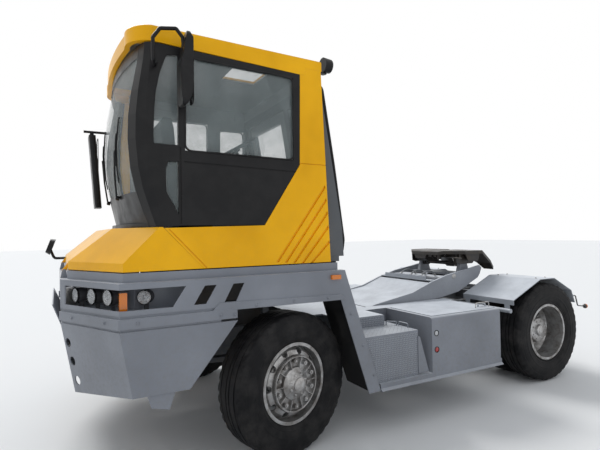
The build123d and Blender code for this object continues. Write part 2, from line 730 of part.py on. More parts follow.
with BuildPart() as side_box:
    with BuildSketch(Plane.XY.offset(box_bottom_z)):
        with BuildLine():
            Polyline((box_rear_x, box_inner_y), (box_rear_x, half_width), (box_front_x, half_width),
                     (box_front_x, box_inner_y), close=True)
        make_face()
    extrude(amount=deck_z - box_bottom_z)
    fillet(side_box.edges().filter_by(GeomType.LINE).group_by(Axis.Z)[-1].sort_by(Axis.Y)[-1:], box_edge_r)
    with BuildSketch(Plane.YZ.offset(box_rear_x + box_wall)):
        with BuildLine():
            Polyline((box_inner_y + box_wall, box_bottom_z + box_wall), (half_width - box_wall, box_bottom_z + box_wall),
                     (half_width - box_wall, deck_z - box_edge_r), (half_width - box_edge_r, deck_z - box_wall),
                     (box_inner_y + box_wall, deck_z - box_wall), close=True)
        make_face()
    extrude(amount=box_front_x - box_rear_x - 2 * box_wall, mode=Mode.SUBTRACT)
    with BuildSketch(Plane.XY.offset(deck_z - 2 * box_wall)):
        with BuildLine():
            Polyline((lid_box[0] + lid_margin, box_inner_y + 45), (lid_box[0] + lid_margin, lid_outer_y - lid_margin),
                     (lid_box[1] - lid_margin, lid_outer_y - lid_margin), (lid_box[1] - lid_margin, box_inner_y + 45),
                     close=True)
        make_face()
    extrude(amount=4 * box_wall, mode=Mode.SUBTRACT)
    with BuildSketch(Plane.YZ.offset(sill_rear_x)):
        with BuildLine():
            Polyline((step_outer_y - 30, box_bottom_z + 4), (half_width, box_bottom_z + 4), (half_width, sill_z + 18),
                     (half_width + sill_out, sill_z), (half_width + sill_out - 6, sill_z - 4),
                     (half_width - 8, sill_z + 10), (half_width - 8, box_bottom_z - 4),
                     (step_outer_y - 30, box_bottom_z - 4), close=True)
        make_face()
    extrude(amount=leg_tip_x - fit_gap - sill_rear_x)
    with BuildSketch(side_plane(step_outer_y)):
        with BuildLine():
            Polyline((step_rear_x, step_z), (step_front_x, step_z),
                     (step_front_x - leg_slope * (step_z - box_bottom_z), box_bottom_z), (step_rear_x, box_bottom_z),
                     close=True)
        make_face()
    extrude(amount=box_wall)
    with Locations(((step_front_x + step_rear_x) / 2, (step_outer_y + step_inner_y) / 2, step_z - box_wall / 2)):
        Box(step_front_x - step_rear_x, step_outer_y - step_inner_y, box_wall)
    with Locations(((riser_rear_x + step_rear_x) / 2, (step_inner_y + box_inner_y) / 2, step_z - box_wall / 2)):
        Box(riser_rear_x - step_rear_x, step_inner_y - box_inner_y, box_wall)
    with Locations(((step_front_x + riser_rear_x) / 2, step_inner_y, (step_z + deck_z) / 2 - 5)):
        Box(step_front_x - riser_rear_x, box_wall, deck_z - step_z - 2)
    with Locations((riser_rear_x - fit_gap - box_wall / 2, (step_inner_y + box_inner_y) / 2, (step_z + deck_z) / 2 - 5)):
        Box(box_wall, step_inner_y - box_inner_y + box_wall, deck_z - step_z - 2)
    with Locations(((riser_rear_x + box_front_x) / 2, box_inner_y + box_wall / 2, (box_bottom_z + deck_z) / 2 - 5)):
        Box(riser_rear_x - box_front_x, box_wall, deck_z - box_bottom_z - 10)
    with BuildSketch(Plane.YZ.offset(step_rear_x - box_wall)):
        with BuildLine():
            Polyline((box_inner_y, step_z), (step_outer_y, step_z), (step_outer_y, box_bottom_z),
                     (box_inner_y, box_bottom_z), close=True)
        make_face()
    extrude(amount=box_wall)
    with BuildSketch(side_plane(step_outer_y + 8)):
        with BuildLine():
            Polyline((step_rear_x, 740), (step_rear_x - 22, 728), (box_front_x + 20, 416), (step_rear_x, 416),
                     close=True)
        make_face()
    extrude(amount=13)
    with BuildSketch(Plane.XY.offset(box_bottom_z)):
        with BuildLine():
            Polyline((box_front_x - 2, box_inner_y), (box_front_x - 2, step_outer_y), (step_rear_x, step_outer_y),
                     (step_rear_x, box_inner_y), close=True)
        make_face()
    extrude(amount=box_wall)
    with BuildSketch(side_plane(half_width)):
        with Locations(*round_lamps):
            Circle(round_lamp_r)
    extrude(amount=box_wall - 2, mode=Mode.SUBTRACT)
    for x in (box_front_x - 90, box_rear_x + 90):
        with Locations((x, (rail_outer_y + fit_gap + box_inner_y + box_wall) / 2, bracket_z)):
            Box(14, box_inner_y + box_wall - rail_outer_y - fit_gap, bracket_height)
side_box.part.label = "side_box"
export_step(side_box.part, "parts/side_box.step")

# Lid of the side box, hinged along its inner edge
hinge_y = box_inner_y + 24
with BuildPart() as box_lid:
    with BuildSketch(Plane.XY.offset(deck_z + fit_gap)):
        with BuildLine():
            Polyline((lid_box[0], hinge_y), (lid_box[0], lid_outer_y), (lid_box[1], lid_outer_y),
                     (lid_box[1], hinge_y), close=True)
        make_face()
    extrude(amount=lid_wall)
    with Locations((lid_box[0] + 70, lid_outer_y - 95, deck_z + lid_wall + 14)):
        Box(110, 12, 28)
        Box(86, 14, 22, mode=Mode.SUBTRACT)
box_lid.part.label = "box_lid"
export_step(box_lid.part, "parts/box_lid.step")

# Fuel tank and hydraulic tank on the right, with their straps and brackets
tanks = [(-1020, -60), (0, 350)]
tank_outer_y = -1225
tank_inner_y = -620
tank_z = (400, 850)
tank_edge_r = 70
strap_wall = 6

with BuildPart() as side_tanks:
    for rear_x, tank_front_x in tanks:
        with BuildSketch(Plane.YZ.offset(rear_x)):
            with Locations(((tank_outer_y + tank_inner_y) / 2, (tank_z[0] + tank_z[1]) / 2)):
                RectangleRounded(tank_inner_y - tank_outer_y, tank_z[1] - tank_z[0], tank_edge_r)
        extrude(amount=tank_front_x - rear_x)
        for x in (rear_x + 90, tank_front_x - 90):
            with BuildSketch(Plane.YZ.offset(x - 25)):
                with Locations(((tank_outer_y + tank_inner_y) / 2, (tank_z[0] + tank_z[1]) / 2)):
                    RectangleRounded(tank_inner_y - tank_outer_y + 2 * strap_wall,
                                     tank_z[1] - tank_z[0] + 2 * strap_wall, tank_edge_r + strap_wall)
            extrude(amount=50)
            with Locations((x, -(rail_outer_y + fit_gap - tank_inner_y) / 2, bracket_z)):
                Box(14, -tank_inner_y - rail_outer_y - fit_gap, bracket_height)
        with Locations((tank_front_x - 200, tank_outer_y + 150, tank_z[1])):
            Cylinder(45, 26, align=(Align.CENTER, Align.CENTER, Align.MIN))
side_tanks.part.label = "side_tanks"
export_step(side_tanks.part, "parts/side_tanks.step")

# Deck plates round the lift arm, on supports from the rails
deck_plate = 6
deck_front_x = 700
arm_slot_y = 472
deck_rear_x = -1150
arm_slot_x = -60
outriggers = (-700, -1100)
right_deck_x = (700, 1790)
right_deck_y = -half_width + band_inset + plate + fit_gap

with BuildPart() as deck_plates:
    with BuildSketch(Plane.XY.offset(deck_z - deck_plate)):
        with BuildLine():
            Polyline((deck_front_x, 560), (step_front_x, 560), (step_front_x, step_inner_y - 4),
                     (riser_rear_x, step_inner_y - 4), (riser_rear_x, box_inner_y - fit_gap),
                     (deck_rear_x, box_inner_y - fit_gap),
                     (deck_rear_x, arm_slot_y), (arm_slot_x, arm_slot_y), (arm_slot_x, -arm_slot_y),
                     (deck_rear_x, -arm_slot_y), (deck_rear_x, tank_outer_y), (step_front_x, tank_outer_y),
                     (step_front_x, -560), (deck_front_x, -560), close=True)
        make_face()
    extrude(amount=deck_plate)
    for side in (-1, 1):
        with Locations(((deck_front_x + arm_slot_x) / 2, side * (rail_outer_y - rail_flange / 2),
                        (rail_top_z + deck_z) / 2)):
            Box(deck_front_x - arm_slot_x - 20, rail_flange - 20, deck_z - rail_top_z - 2 * fit_gap)
        for x in outriggers:
            with BuildSketch(Plane.YZ.offset(x - 6)):
                with BuildLine():
                    Polyline(*[(side * y, z) for y, z in
                               ((rail_outer_y + fit_gap, 730), (rail_outer_y + fit_gap, 822), (arm_slot_y + 4, 822),
                                (arm_slot_y + 4, deck_z - 1), (box_inner_y - 6, deck_z - 1), (box_inner_y - 6, 850))],
                             close=True)
                make_face()
            extrude(amount=12)
    with Locations(((right_deck_x[0] + right_deck_x[1]) / 2, (cab_right - 10 + right_deck_y) / 2,
                    wing_top_z + cab_beam_height + fit_gap + deck_plate / 2)):
        Box(right_deck_x[1] - right_deck_x[0], cab_right - 10 - right_deck_y, deck_plate)
deck_plates.part.label = "deck_plates"
export_step(deck_plates.part, "parts/deck_plates.step")

# Rear fenders: folded plates over the twin wheels on cross tubes
fender_inner_y = 468
fender_outer_y = 1122
fender_wall = 6
fender_path = [(rear_axle_x + 555, 860), (rear_axle_x + 555, 908), (rear_axle_x + 112, 1097),
               (rear_axle_x - 131, 1097), (rear_axle_x - 438, 941), (rear_axle_x - 500, 800)]
fender_tubes = [(rear_axle_x + 555 + 25, 800), (rear_axle_x - 494, 870)]
fender_tube_r = 22

with BuildPart() as rear_fenders:
    for side in (-1, 1):
        with BuildSketch(side_plane(side * fender_outer_y)):
            with BuildLine():
                Polyline(fender_path)
                offset(amount=fender_wall, side=Side.RIGHT)
            make_face()
        extrude(amount=side * (fender_outer_y - fender_inner_y))
        for x, z in fender_tubes:
            with BuildSketch(side_plane(side * (fender_outer_y - 20))):
                with Locations((x, z)):
                    Circle(fender_tube_r)
            extrude(amount=side * (fender_outer_y - 20 - rail_outer_y - fit_gap))
        for y in (fender_inner_y + 60, fender_outer_y - 80):
            with Locations((fender_path[0][0] + fender_wall / 2, side * y, fender_path[0][1] - 30)):
                Box(fender_wall, 60, 90)
        with Locations((fender_tubes[1][0], side * (rail_outer_y + fit_gap + 6), fender_tubes[1][1] - 45)):
            Box(44, 12, 110)
rear_fenders.part.label = "rear_fenders"
export_step(rear_fenders.part, "parts/rear_fenders.step")

# Lift arm: two side plates outside the rails, ramp plate, cross tube and the fifth wheel's pedestals
arm_profile = [(-95, 868), (-205, 896), (-706, 977), (-985, 1074), (-1224, 1138), (-1502, 1182), (-1758, 1226),
               (-1790, 1196), (-1762, 1130), (-1727, 1086), (-1400, 940), (-1110, 893), (-560, 842), (-190, 715),
               (-95, 725)]
ramp_path = [(-120, 866), (-210, 884), (-706, 956), (-985, 1058)]
ramp_wall = 8
coupling_pin = Vector(-1620, 0, 1245)
coupling_pin_r = 25
pedestal_y = (300, 345)
pedestal_half = 95
tube_r = 48

with BuildPart() as lift_arm:
    for side in (-1, 1):
        with BuildSketch(side_plane(side * (arm_inner_y + arm_plate))):
            with BuildLine():
                Polyline(arm_profile, close=True)
            make_face()
            with Locations((arm_pivot.X, arm_pivot.Z)):
                Circle(arm_pin_r + fit_gap, mode=Mode.SUBTRACT)
        extrude(amount=side * arm_plate)
        with BuildSketch(side_plane(side * pedestal_y[1])):
            with BuildLine():
                Polyline((coupling_pin.X + pedestal_half, 1120), (coupling_pin.X + 45, coupling_pin.Z + 40),
                         (coupling_pin.X - 45, coupling_pin.Z + 40), (coupling_pin.X - pedestal_half, 1120), close=True)
            make_face()
        extrude(amount=side * (pedestal_y[1] - pedestal_y[0]))
    with BuildSketch(side_plane(0)):
        with BuildLine():
            Polyline(ramp_path)
            offset(amount=ramp_wall, side=Side.RIGHT)
        make_face()
    extrude(amount=arm_inner_y + 1, both=True)
    with BuildSketch(side_plane(0)):
        with Locations((coupling_pin.X, 1120)):
            Rectangle(2 * pedestal_half + 60, 24)
        with Locations((rod_pin.X, rod_pin.Z + 105)):
            Circle(tube_r)
        with Locations((-640, 905)):
            Circle(tube_r - 10)
    extrude(amount=arm_inner_y + 1, both=True)
    for side in (-1, 1):
        for y in (cylinder_y - rod_lug_spread, cylinder_y + rod_lug_spread):
            with BuildSketch(side_plane(side * y)):
                with BuildLine():
                    Polyline((rod_pin.X - 40, rod_pin.Z + 100), (rod_pin.X + 40, rod_pin.Z + 100),
                             (rod_pin.X + 34, rod_pin.Z - 34), (rod_pin.X - 34, rod_pin.Z - 34), close=True)
                make_face()
            extrude(amount=rod_lug_wall / 2, both=True)
        for near, far in ((rod_lug_spread - rod_lug_wall / 2, 48), (-48, rod_lug_wall / 2 - rod_lug_spread)):
            low, high = sorted((side * (cylinder_y + near), side * (cylinder_y + far)))
            with BuildSketch(side_plane(high)):
                with Locations((rod_pin.X, rod_pin.Z)):
                    Circle(rod_pin_r)
            extrude(amount=high - low)
    for side in (-1, 1):
        with BuildSketch(side_plane(side * (pedestal_y[0] + 1))):
            with Locations((coupling_pin.X, coupling_pin.Z)):
                Circle(coupling_pin_r)
        extrude(amount=side * 60)
lift_arm.part.label = "lift_arm"
export_step(lift_arm.part, "parts/lift_arm.step")

# Fifth wheel: grease plate with its rear throat and sloping horns, ribs, jaw block and pivot ears
plate_front = 290
plate_nose_half = 215
plate_thick = 38
plate_half = 460
plate_z = 1402
kingpin_bore_r = 25.6
throat_half = 34
ear_y = (248, 294)
cheek = [(60, plate_z - 30), (20, plate_z - 118), (-150, plate_z - 128), (-190, plate_z - 30)]
coupling_top = [(plate_front, -12), (plate_front - 40, 0), (-190, 0), (-405, -130), (-480, -210)]
throat = [(-40, throat_half), (-190, throat_half + 20), (-500, 250)]

with BuildPart() as fifth_wheel:
    with BuildSketch(side_plane(0)):
        with BuildLine():
            Polyline([(coupling_pin.X + x, plate_z + z) for x, z in coupling_top]
                     + [(coupling_pin.X + x, plate_z + z - plate_thick) for x, z in reversed(coupling_top)], close=True)
        make_face()
    extrude(amount=plate_half, both=True)
    with BuildSketch(Plane.XY.offset(plate_z - 400)):
        with BuildLine():
            Polyline([(coupling_pin.X + x, y) for x, y in
                      ((plate_front + 10, plate_nose_half), (plate_front - 200, plate_half), (-200, plate_half),
                       (-485, 380), (-490, -380), (-200, -plate_half), (plate_front - 200, -plate_half),
                       (plate_front + 10, -plate_nose_half))], close=True)
        make_face()
        with BuildLine():
            Polyline([(coupling_pin.X + x, y) for x, y in throat]
                     + [(coupling_pin.X + x, -y) for x, y in reversed(throat)], close=True)
        make_face(mode=Mode.SUBTRACT)
        with Locations((coupling_pin.X, 0)):
            Circle(kingpin_bore_r, mode=Mode.SUBTRACT)
    extrude(amount=500, mode=Mode.INTERSECT)
    for side in (-1, 1):
        with BuildSketch(side_plane(side * ear_y[1])):
            with BuildLine():
                Polyline((coupling_pin.X + 90, plate_z - 30), (coupling_pin.X + 36, coupling_pin.Z - 36),
                         (coupling_pin.X - 36, coupling_pin.Z - 36), (coupling_pin.X - 90, plate_z - 30), close=True)
            make_face()
            with Locations((coupling_pin.X, coupling_pin.Z)):
                Circle(coupling_pin_r + fit_gap, mode=Mode.SUBTRACT)
        extrude(amount=side * (ear_y[1] - ear_y[0]))
        with Locations((coupling_pin.X + 20, side * 200, plate_z - plate_thick - 18)):
            Box(440, 16, 44)
        with BuildSketch(side_plane(side * (plate_half - 30))):
            with BuildLine():
                Polyline([(coupling_pin.X + x, z) for x, z in cheek], close=True)
            make_face()
        extrude(amount=side * 14)
    for x, half in ((plate_front - 50, plate_nose_half), (plate_front - 170, plate_half - 60)):
        with Locations((coupling_pin.X + x, 0, plate_z - plate_thick - 18)):
            Box(18, 2 * half, 44)
    with Locations((coupling_pin.X + 50, 0, plate_z - plate_thick - 14)):
        Box(180, 190, 34)
    with BuildSketch(Plane.XY.offset(plate_z - 120)):
        with Locations((coupling_pin.X, 0)):
            Circle(kingpin_bore_r)
    extrude(amount=200, mode=Mode.SUBTRACT)
fifth_wheel.part.label = "fifth_wheel"
export_step(fifth_wheel.part, "parts/fifth_wheel.step")

# Lift cylinders: barrels on the chassis, rods to the lift arm
cylinder_run = rod_pin - barrel_pin
cylinder_aim = cylinder_run.normalized()
barrel_r = 52
bore_r = 40
rod_r = 26
barrel_length = 500
eye_half = 50

with BuildPart() as lift_barrels:
    for side in (-1, 1):
        base = barrel_pin + Vector(0, side * cylinder_y, 0)
        with BuildSketch(side_plane(side * cylinder_y)):
            with Locations((barrel_pin.X, barrel_pin.Z)):
                Circle(40)
        extrude(amount=eye_half, both=True)
        with BuildSketch(Plane(origin=base + cylinder_aim * 35, x_dir=(0, 1, 0), z_dir=cylinder_aim)):
            Circle(barrel_r)
        extrude(amount=barrel_length - 35)
        with BuildSketch(Plane(origin=base + cylinder_aim * 70, x_dir=(0, 1, 0), z_dir=cylinder_aim)):
            Circle(bore_r)
        extrude(amount=barrel_length - 100, mode=Mode.SUBTRACT)
        with BuildSketch(Plane(origin=base + cylinder_aim * 70, x_dir=(0, 1, 0), z_dir=cylinder_aim)):
            Circle(rod_r + fit_gap)
        extrude(amount=barrel_length, mode=Mode.SUBTRACT)
        with BuildSketch(side_plane(side * cylinder_y)):
            with Locations((barrel_pin.X, barrel_pin.Z)):
                Circle(cylinder_pin_r + fit_gap)
        extrude(amount=eye_half + 1, both=True, mode=Mode.SUBTRACT)
lift_barrels.part.label = "lift_barrels"
export_step(lift_barrels.part, "parts/lift_barrels.step")

with BuildPart() as lift_rods:
    for side in (-1, 1):
        base = barrel_pin + Vector(0, side * cylinder_y, 0)
        with BuildSketch(Plane(origin=base + cylinder_aim * 90, x_dir=(0, 1, 0), z_dir=cylinder_aim)):
            Circle(rod_r)
        extrude(amount=cylinder_run.length - 90)
        with BuildSketch(Plane(origin=base + cylinder_aim * 90, x_dir=(0, 1, 0), z_dir=cylinder_aim)):
            Circle(bore_r - fit_gap)
        extrude(amount=45)
        with BuildSketch(side_plane(side * cylinder_y)):
            with Locations((rod_pin.X, rod_pin.Z)):
                Circle(34)
        extrude(amount=22, both=True)
        with BuildSketch(side_plane(side * cylinder_y)):
            with Locations((rod_pin.X, rod_pin.Z)):
                Circle(rod_eye_r)
        extrude(amount=23, both=True, mode=Mode.SUBTRACT)
lift_rods.part.label = "lift_rods"
export_step(lift_rods.part, "parts/lift_rods.step")

# Corner posts of the cab: height, ridge on the side face, front edge at the windscreen
post_rows = [(1699, 2060, 2138), (1800, 2085, 2178), (1948, 2129, 2226), (2090, 2155, 2255), (2271, 2172, 2269),
             (2427, 2171, 2264), (2587, 2161, 2244), (2790, 2138, 2205), (2898, 2128, 2196)]
post_lap = 25
post_in_y = 48
screen_y = 400
screen_half = 700
screen_bulge = 75
screen_wall = 8
screen_bottom_z = 1932
header_z = 2812
frame_drop = 2
side_y = (cab_left - frame_drop - screen_y)


def post_x(z, column):
    """Ridge (column 1) or front edge (column 2) of the corner posts at a height."""
    for low, high in zip(post_rows, post_rows[1:]):
        if z <= high[0]:
            return low[column] + (high[column] - low[column]) * (z - low[0]) / (high[0] - low[0])
    return post_rows[-1][column]


# Cab side walls, cut for the glass
rear_top_x = 995
rear_top_z = 2902
left_outline = [(cab_rear_x, cab_bottom_z), (1803, cab_bottom_z), (2062, cowl_z - 6), (1350, waist_z - 2),
                (1054, 2158), (1041, roof_z(1041, roof_underside, fit_gap)),
                (rear_top_x, roof_z(rear_top_x, roof_underside, fit_gap)), (rear_top_x, rear_top_z), (857, rear_top_z)]
gills = [((831, 1991), (1242, 1433)), ((822, 1890), (1172, 1428)), ((812, 1790), (1102, 1422)),
         ((806, 1680), (1032, 1416)), ((799, 1562), (963, 1406))]
seams = [((2028, 1684), (1781, 1422)), ((1050, 2173), (820, 2171))]
side_window = [(1104, 2192), (1102, 2812), (1913, 2834), (1920, 2206)]
quarter_windows = [[(1963, 2238), (1960, 2838), (2035, 2828), (2080, 2703), (2107, 2574), (2117, 2448), (2123, 2305),
                    (2122, 2240)],
                   [(1966, 1778), (1966, 2130), (2028, 2128), (2046, 2078), (2048, 2025), (2044, 1926), (2000, 1846)]]
frame_grooves = [[(1926, 2134), (1926, 2124), (1046, 2096), (1046, 2106)],
                 [(1960, 2226), (1960, 1716), (1947, 1716), (1947, 2226)]]
groove_depth = 6
right_windows = [[(890, 2200), (890, 2740), (1160, 2740), (1160, 2200)],
                 [(1290, 2192), (1290, 2790), (1980, 2790), (1980, 2192)]]
glass_wall = 6

with BuildPart() as cab_side_left:
    with BuildSketch(side_plane(cab_left)):
        with BuildLine():
            Polyline(left_outline, close=True)
        make_face()
    extrude(amount=cab_wall)
    for top, bottom in gills:
        with BuildSketch(side_plane(cab_left)):
            with BuildLine():
                Polyline(top, bottom, (bottom[0] + 22, bottom[1]), (top[0] + 6, top[1] + 22), close=True)
            make_face()
        extrude(amount=14, mode=Mode.SUBTRACT)
    for start, end in seams:
        with BuildSketch(side_plane(cab_left)):
            with BuildLine():
                Polyline(start, end, (end[0] + 5, end[1] - 5), (start[0] + 5, start[1] - 5), close=True)
            make_face()
        extrude(amount=groove_depth, mode=Mode.SUBTRACT)
cab_side_left.part.label = "cab_side_left"
export_step(cab_side_left.part, "parts/cab_side_left.step")

with BuildPart() as cab_side_right:
    with BuildSketch(side_plane(cab_right + cab_wall)):
        with BuildLine():
            Polyline([(cab_rear_x, cab_bottom_z), (2010, cab_bottom_z), (2010, cowl_z + 2)]
                     + [(ridge - post_lap - fit_gap, z) for z, ridge, front in post_rows]
                     + [(rear_top_x, roof_z(rear_top_x, roof_underside, fit_gap)), (rear_top_x, rear_top_z),
                        (857, rear_top_z)], close=True)
        make_face()
        for window in right_windows:
            with BuildLine():
                Polyline(window, close=True)
            make_face(mode=Mode.SUBTRACT)
    extrude(amount=cab_wall)
cab_side_right.part.label = "cab_side_right"
export_step(cab_side_right.part, "parts/cab_side_right.step")

# Dark cab frame: side window frame with the lower panel, corner posts, panels below and above the windscreen
frame_outline = [(1043, roof_z(1043, roof_underside, fit_gap)), (1056, 2160), (1351, waist_z), (1940, waist_z),
                 (2050, cowl_z + 2)]
cowl_rows = [(post_rows[0][0], post_rows[0][2], 150), (cowl_z + 28, post_x(cowl_z + 28, 2), 138)]
scuttle_rows = [(cowl_z + 27, post_x(cowl_z + 27, 2), 105), (screen_bottom_z, post_x(screen_bottom_z, 2), screen_bulge)]
header_rows = [(header_z, post_x(header_z, 2), screen_bulge),
               (post_rows[-1][0], post_rows[-1][2], screen_bulge)]
lap = 6


def arch(x, bulge, half):
    """Left end, middle and right end of an arc across the cab's front."""
    return (x, screen_y + half), (x + bulge, screen_y), (x, screen_y - half)


with BuildPart() as cab_frame:
    with BuildSketch(side_plane(cab_left - frame_drop)):
        with BuildLine():
            Polyline(frame_outline + [(ridge - 2, z) for z, ridge, front in post_rows], close=True)
        make_face()
        for window in [side_window] + quarter_windows:
            with BuildLine():
                Polyline(window, close=True)
            make_face(mode=Mode.SUBTRACT)
    extrude(amount=cab_wall - frame_drop)
    for outline in frame_grooves:
        with BuildSketch(side_plane(cab_left - frame_drop)):
            with BuildLine():
                Polyline(outline, close=True)
            make_face()
        extrude(amount=groove_depth, mode=Mode.SUBTRACT)
    for side in (1, -1):
        for z, ridge, front in post_rows:
            with BuildSketch(Plane.XY.offset(z)):
                with BuildLine():
                    Polyline([(x, screen_y + side * y) for x, y in
                              ((ridge - post_lap, side_y), (ridge, side_y), (ridge + 0.6 * (front - ridge), side_y - 26),
                               (front, screen_half), (front - 38, screen_half), (ridge - 5, side_y - post_in_y),
                               (ridge - post_lap, side_y - post_in_y))], close=True)
                make_face()
        loft(ruled=True)
    for rows, wall in ((cowl_rows, 36), (scuttle_rows, 14), (header_rows, 12)):
        for z, x, bulge in rows:
            outer, inner = arch(x - 1, bulge, screen_half + lap), arch(x - 1 - wall, bulge, screen_half + lap)
            with BuildSketch(Plane.XY.offset(z)):
                with BuildLine():
                    ThreePointArc(*outer)
                    ThreePointArc(*inner)
                    Line(outer[0], inner[0])
                    Line(outer[2], inner[2])
                make_face()
        loft(ruled=True)
cab_frame.part.label = "cab_frame"
export_step(cab_frame.part, "parts/cab_frame.step")

# Floor of the cab with its firewall and the post that the driver's station turns on
firewall_x = 2030
station_pin = Vector(1560, 400)
station_pin_r = 60
with BuildPart() as cab_floor:
    with BuildSketch(Plane.XY.offset(cab_bottom_z)):
        with BuildLine():
            Polyline((690, cab_right + cab_wall + fit_gap), (690, cab_left - cab_wall - fit_gap),
                     (firewall_x, cab_left - cab_wall - fit_gap), (firewall_x, cab_right + cab_wall + fit_gap),
                     close=True)
        make_face()
    extrude(amount=cab_wall)
    with Locations((firewall_x - 15, (cab_left + cab_right) / 2, (cab_bottom_z + cowl_z) / 2)):
        Box(30, cab_left - cab_right - 2 * cab_wall - 2 * fit_gap, cowl_z - cab_bottom_z)
    with BuildSketch(Plane.XY.offset(cab_bottom_z + cab_wall - 1)):
        with Locations((station_pin.X, station_pin.Y)):
            Circle(station_pin_r)
    extrude(amount=31)
cab_floor.part.label = "cab_floor"
export_step(cab_floor.part, "parts/cab_floor.step")

# Rear wall: a wedge that widens downwards, with the doorway
wall_top_z = roof_z(roof_rear_x - 4, roof_underside, fit_gap)
wall_outer = [(roof_rear_x - 4, wall_top_z), (657, 1679), (643, cab_bottom_z)]
wall_width = (cab_right + cab_wall + fit_gap, cab_left - cab_wall - fit_gap)
door_y = (-250, 560)
door_z = (1480, 2760)
door_gap = 8
door_wall = 34
rear_glass = ((640, 1090), (1900, 2740))


def wall_x(z, depth=0):
    """Place of the rear wall's outer face at a height, moved in by depth."""
    (x0, z0), (x1, z1), (x2, z2) = wall_outer
    if z >= z1:
        return x1 + (x0 - x1) * (z - z1) / (z0 - z1) + depth
    return x2 + (x1 - x2) * (z - z2) / (z1 - z2) + depth


hinge_zs = (1760, 2180, 2600)
hinge_out = 16
hinge_r = 11
hinge_pin_r = 6
hinge_half = 30
hinge_leaf = 40
hinge_aim = Vector(wall_outer[0][0] - wall_outer[1][0], 0, wall_outer[0][1] - wall_outer[1][1]).normalized()


def hinge_plane(z, along):
    """Plane square to the door's hinge line: X is +Y, Y points away from the wall."""
    origin = Vector(wall_x(z) - hinge_out, door_y[0], z) + hinge_aim * along
    return Plane(origin=origin, x_dir=(0, 1, 0), z_dir=hinge_aim)


def hinge_section(way):
    """Eye of a hinge with its leaf, on the door's side (way 1) or the wall's side (way -1)."""
    Circle(hinge_r)
    with Locations((way * hinge_leaf / 2, 0)):
        Rectangle(hinge_leaf, hinge_r)
    with Locations((way * (hinge_leaf + hinge_r) / 2, -6)):
        Rectangle(hinge_leaf - hinge_r, 23)


with BuildPart() as cab_rear_wall:
    with BuildSketch(side_plane(wall_width[1])):
        with BuildLine():
            Polyline(wall_outer + [(x + cab_wall, z) for x, z in reversed(wall_outer)], close=True)
        make_face()
    extrude(amount=wall_width[1] - wall_width[0])
    for y in wall_width:
        with BuildSketch(side_plane(y)):
            with BuildLine():
                Polyline(wall_outer + [(cab_rear_x + 20, cab_bottom_z), (868, wall_top_z)], close=True)
            make_face()
        extrude(amount=cab_wall if y > 0 else -cab_wall)
    with Locations(((wall_x(2000) + 40), (door_y[0] + door_y[1]) / 2, (door_z[0] + door_z[1]) / 2)):
        Box(600, door_y[1] - door_y[0], door_z[1] - door_z[0], mode=Mode.SUBTRACT)
    with Locations(((wall_x(2300)), (rear_glass[0][0] + rear_glass[0][1]) / 2, (rear_glass[1][0] + rear_glass[1][1]) / 2)):
        Box(600, rear_glass[0][1] - rear_glass[0][0], rear_glass[1][1] - rear_glass[1][0], mode=Mode.SUBTRACT)
    with Locations((670, 400, cab_bottom_z + cab_wall / 2)):
        Box(320, 1700, cab_wall + 2 * fit_gap, mode=Mode.SUBTRACT)
    for z in hinge_zs:
        for along in (-hinge_half - 22, hinge_half + 2):
            with BuildSketch(hinge_plane(z, along)):
                hinge_section(-1)
            extrude(amount=20)
        with BuildSketch(hinge_plane(z, -hinge_half - 10)):
            Circle(hinge_pin_r)
        extrude(amount=2 * hinge_half + 20)
cab_rear_wall.part.label = "cab_rear_wall"
export_step(cab_rear_wall.part, "parts/cab_rear_wall.step")

# Rear door with its glass
leaf_z = (door_z[0] + door_gap, door_z[1] - door_gap)
leaf_y = (door_y[0] + door_gap, door_y[1] - door_gap)
leaf_glass = ((-150, 460), (1950, 2660))
with BuildPart() as cab_door:
    with BuildSketch(side_plane(leaf_y[1])):
        with BuildLine():
            Polyline([(wall_x(z), z) for z in (leaf_z[1], wall_outer[1][1], leaf_z[0])]
                     + [(wall_x(z, door_wall), z) for z in (leaf_z[0], wall_outer[1][1], leaf_z[1])], close=True)
        make_face()
    extrude(amount=leaf_y[1] - leaf_y[0])
    with Locations((wall_x(2300), (leaf_glass[0][0] + leaf_glass[0][1]) / 2, (leaf_glass[1][0] + leaf_glass[1][1]) / 2)):
        Box(600, leaf_glass[0][1] - leaf_glass[0][0], leaf_glass[1][1] - leaf_glass[1][0], mode=Mode.SUBTRACT)
    for z in hinge_zs:
        with BuildSketch(hinge_plane(z, -hinge_half)):
            hinge_section(1)
            Circle(hinge_pin_r + fit_gap, mode=Mode.SUBTRACT)
        extrude(amount=2 * hinge_half)
cab_door.part.label = "cab_door"
export_step(cab_door.part, "parts/cab_door.step")

with BuildPart() as door_glass:
    with BuildSketch(side_plane(leaf_glass[0][1] - fit_gap)):
        with BuildLine():
            Polyline([(wall_x(z, 14), z) for z in (leaf_glass[1][1] - fit_gap, leaf_glass[1][0] + fit_gap)]
                     + [(wall_x(z, 14 + glass_wall), z) for z in (leaf_glass[1][0] + fit_gap, leaf_glass[1][1] - fit_gap)],
                     close=True)
        make_face()
    extrude(amount=leaf_glass[0][1] - leaf_glass[0][0] - 2 * fit_gap)
door_glass.part.label = "door_glass"
export_step(door_glass.part, "parts/door_glass.step")

# Roof: a sloping slab with a rounded front that stands out over the windscreen as its visor
visor_front_x = 2300
visor_side_x = 2264
visor_corner = (2209, 750)
visor_half = 555
roof_half = cab_left - screen_y
roof_skin = 34
roof_edge_r = 14
skylight = ((1140, 1440), (520, 1060))

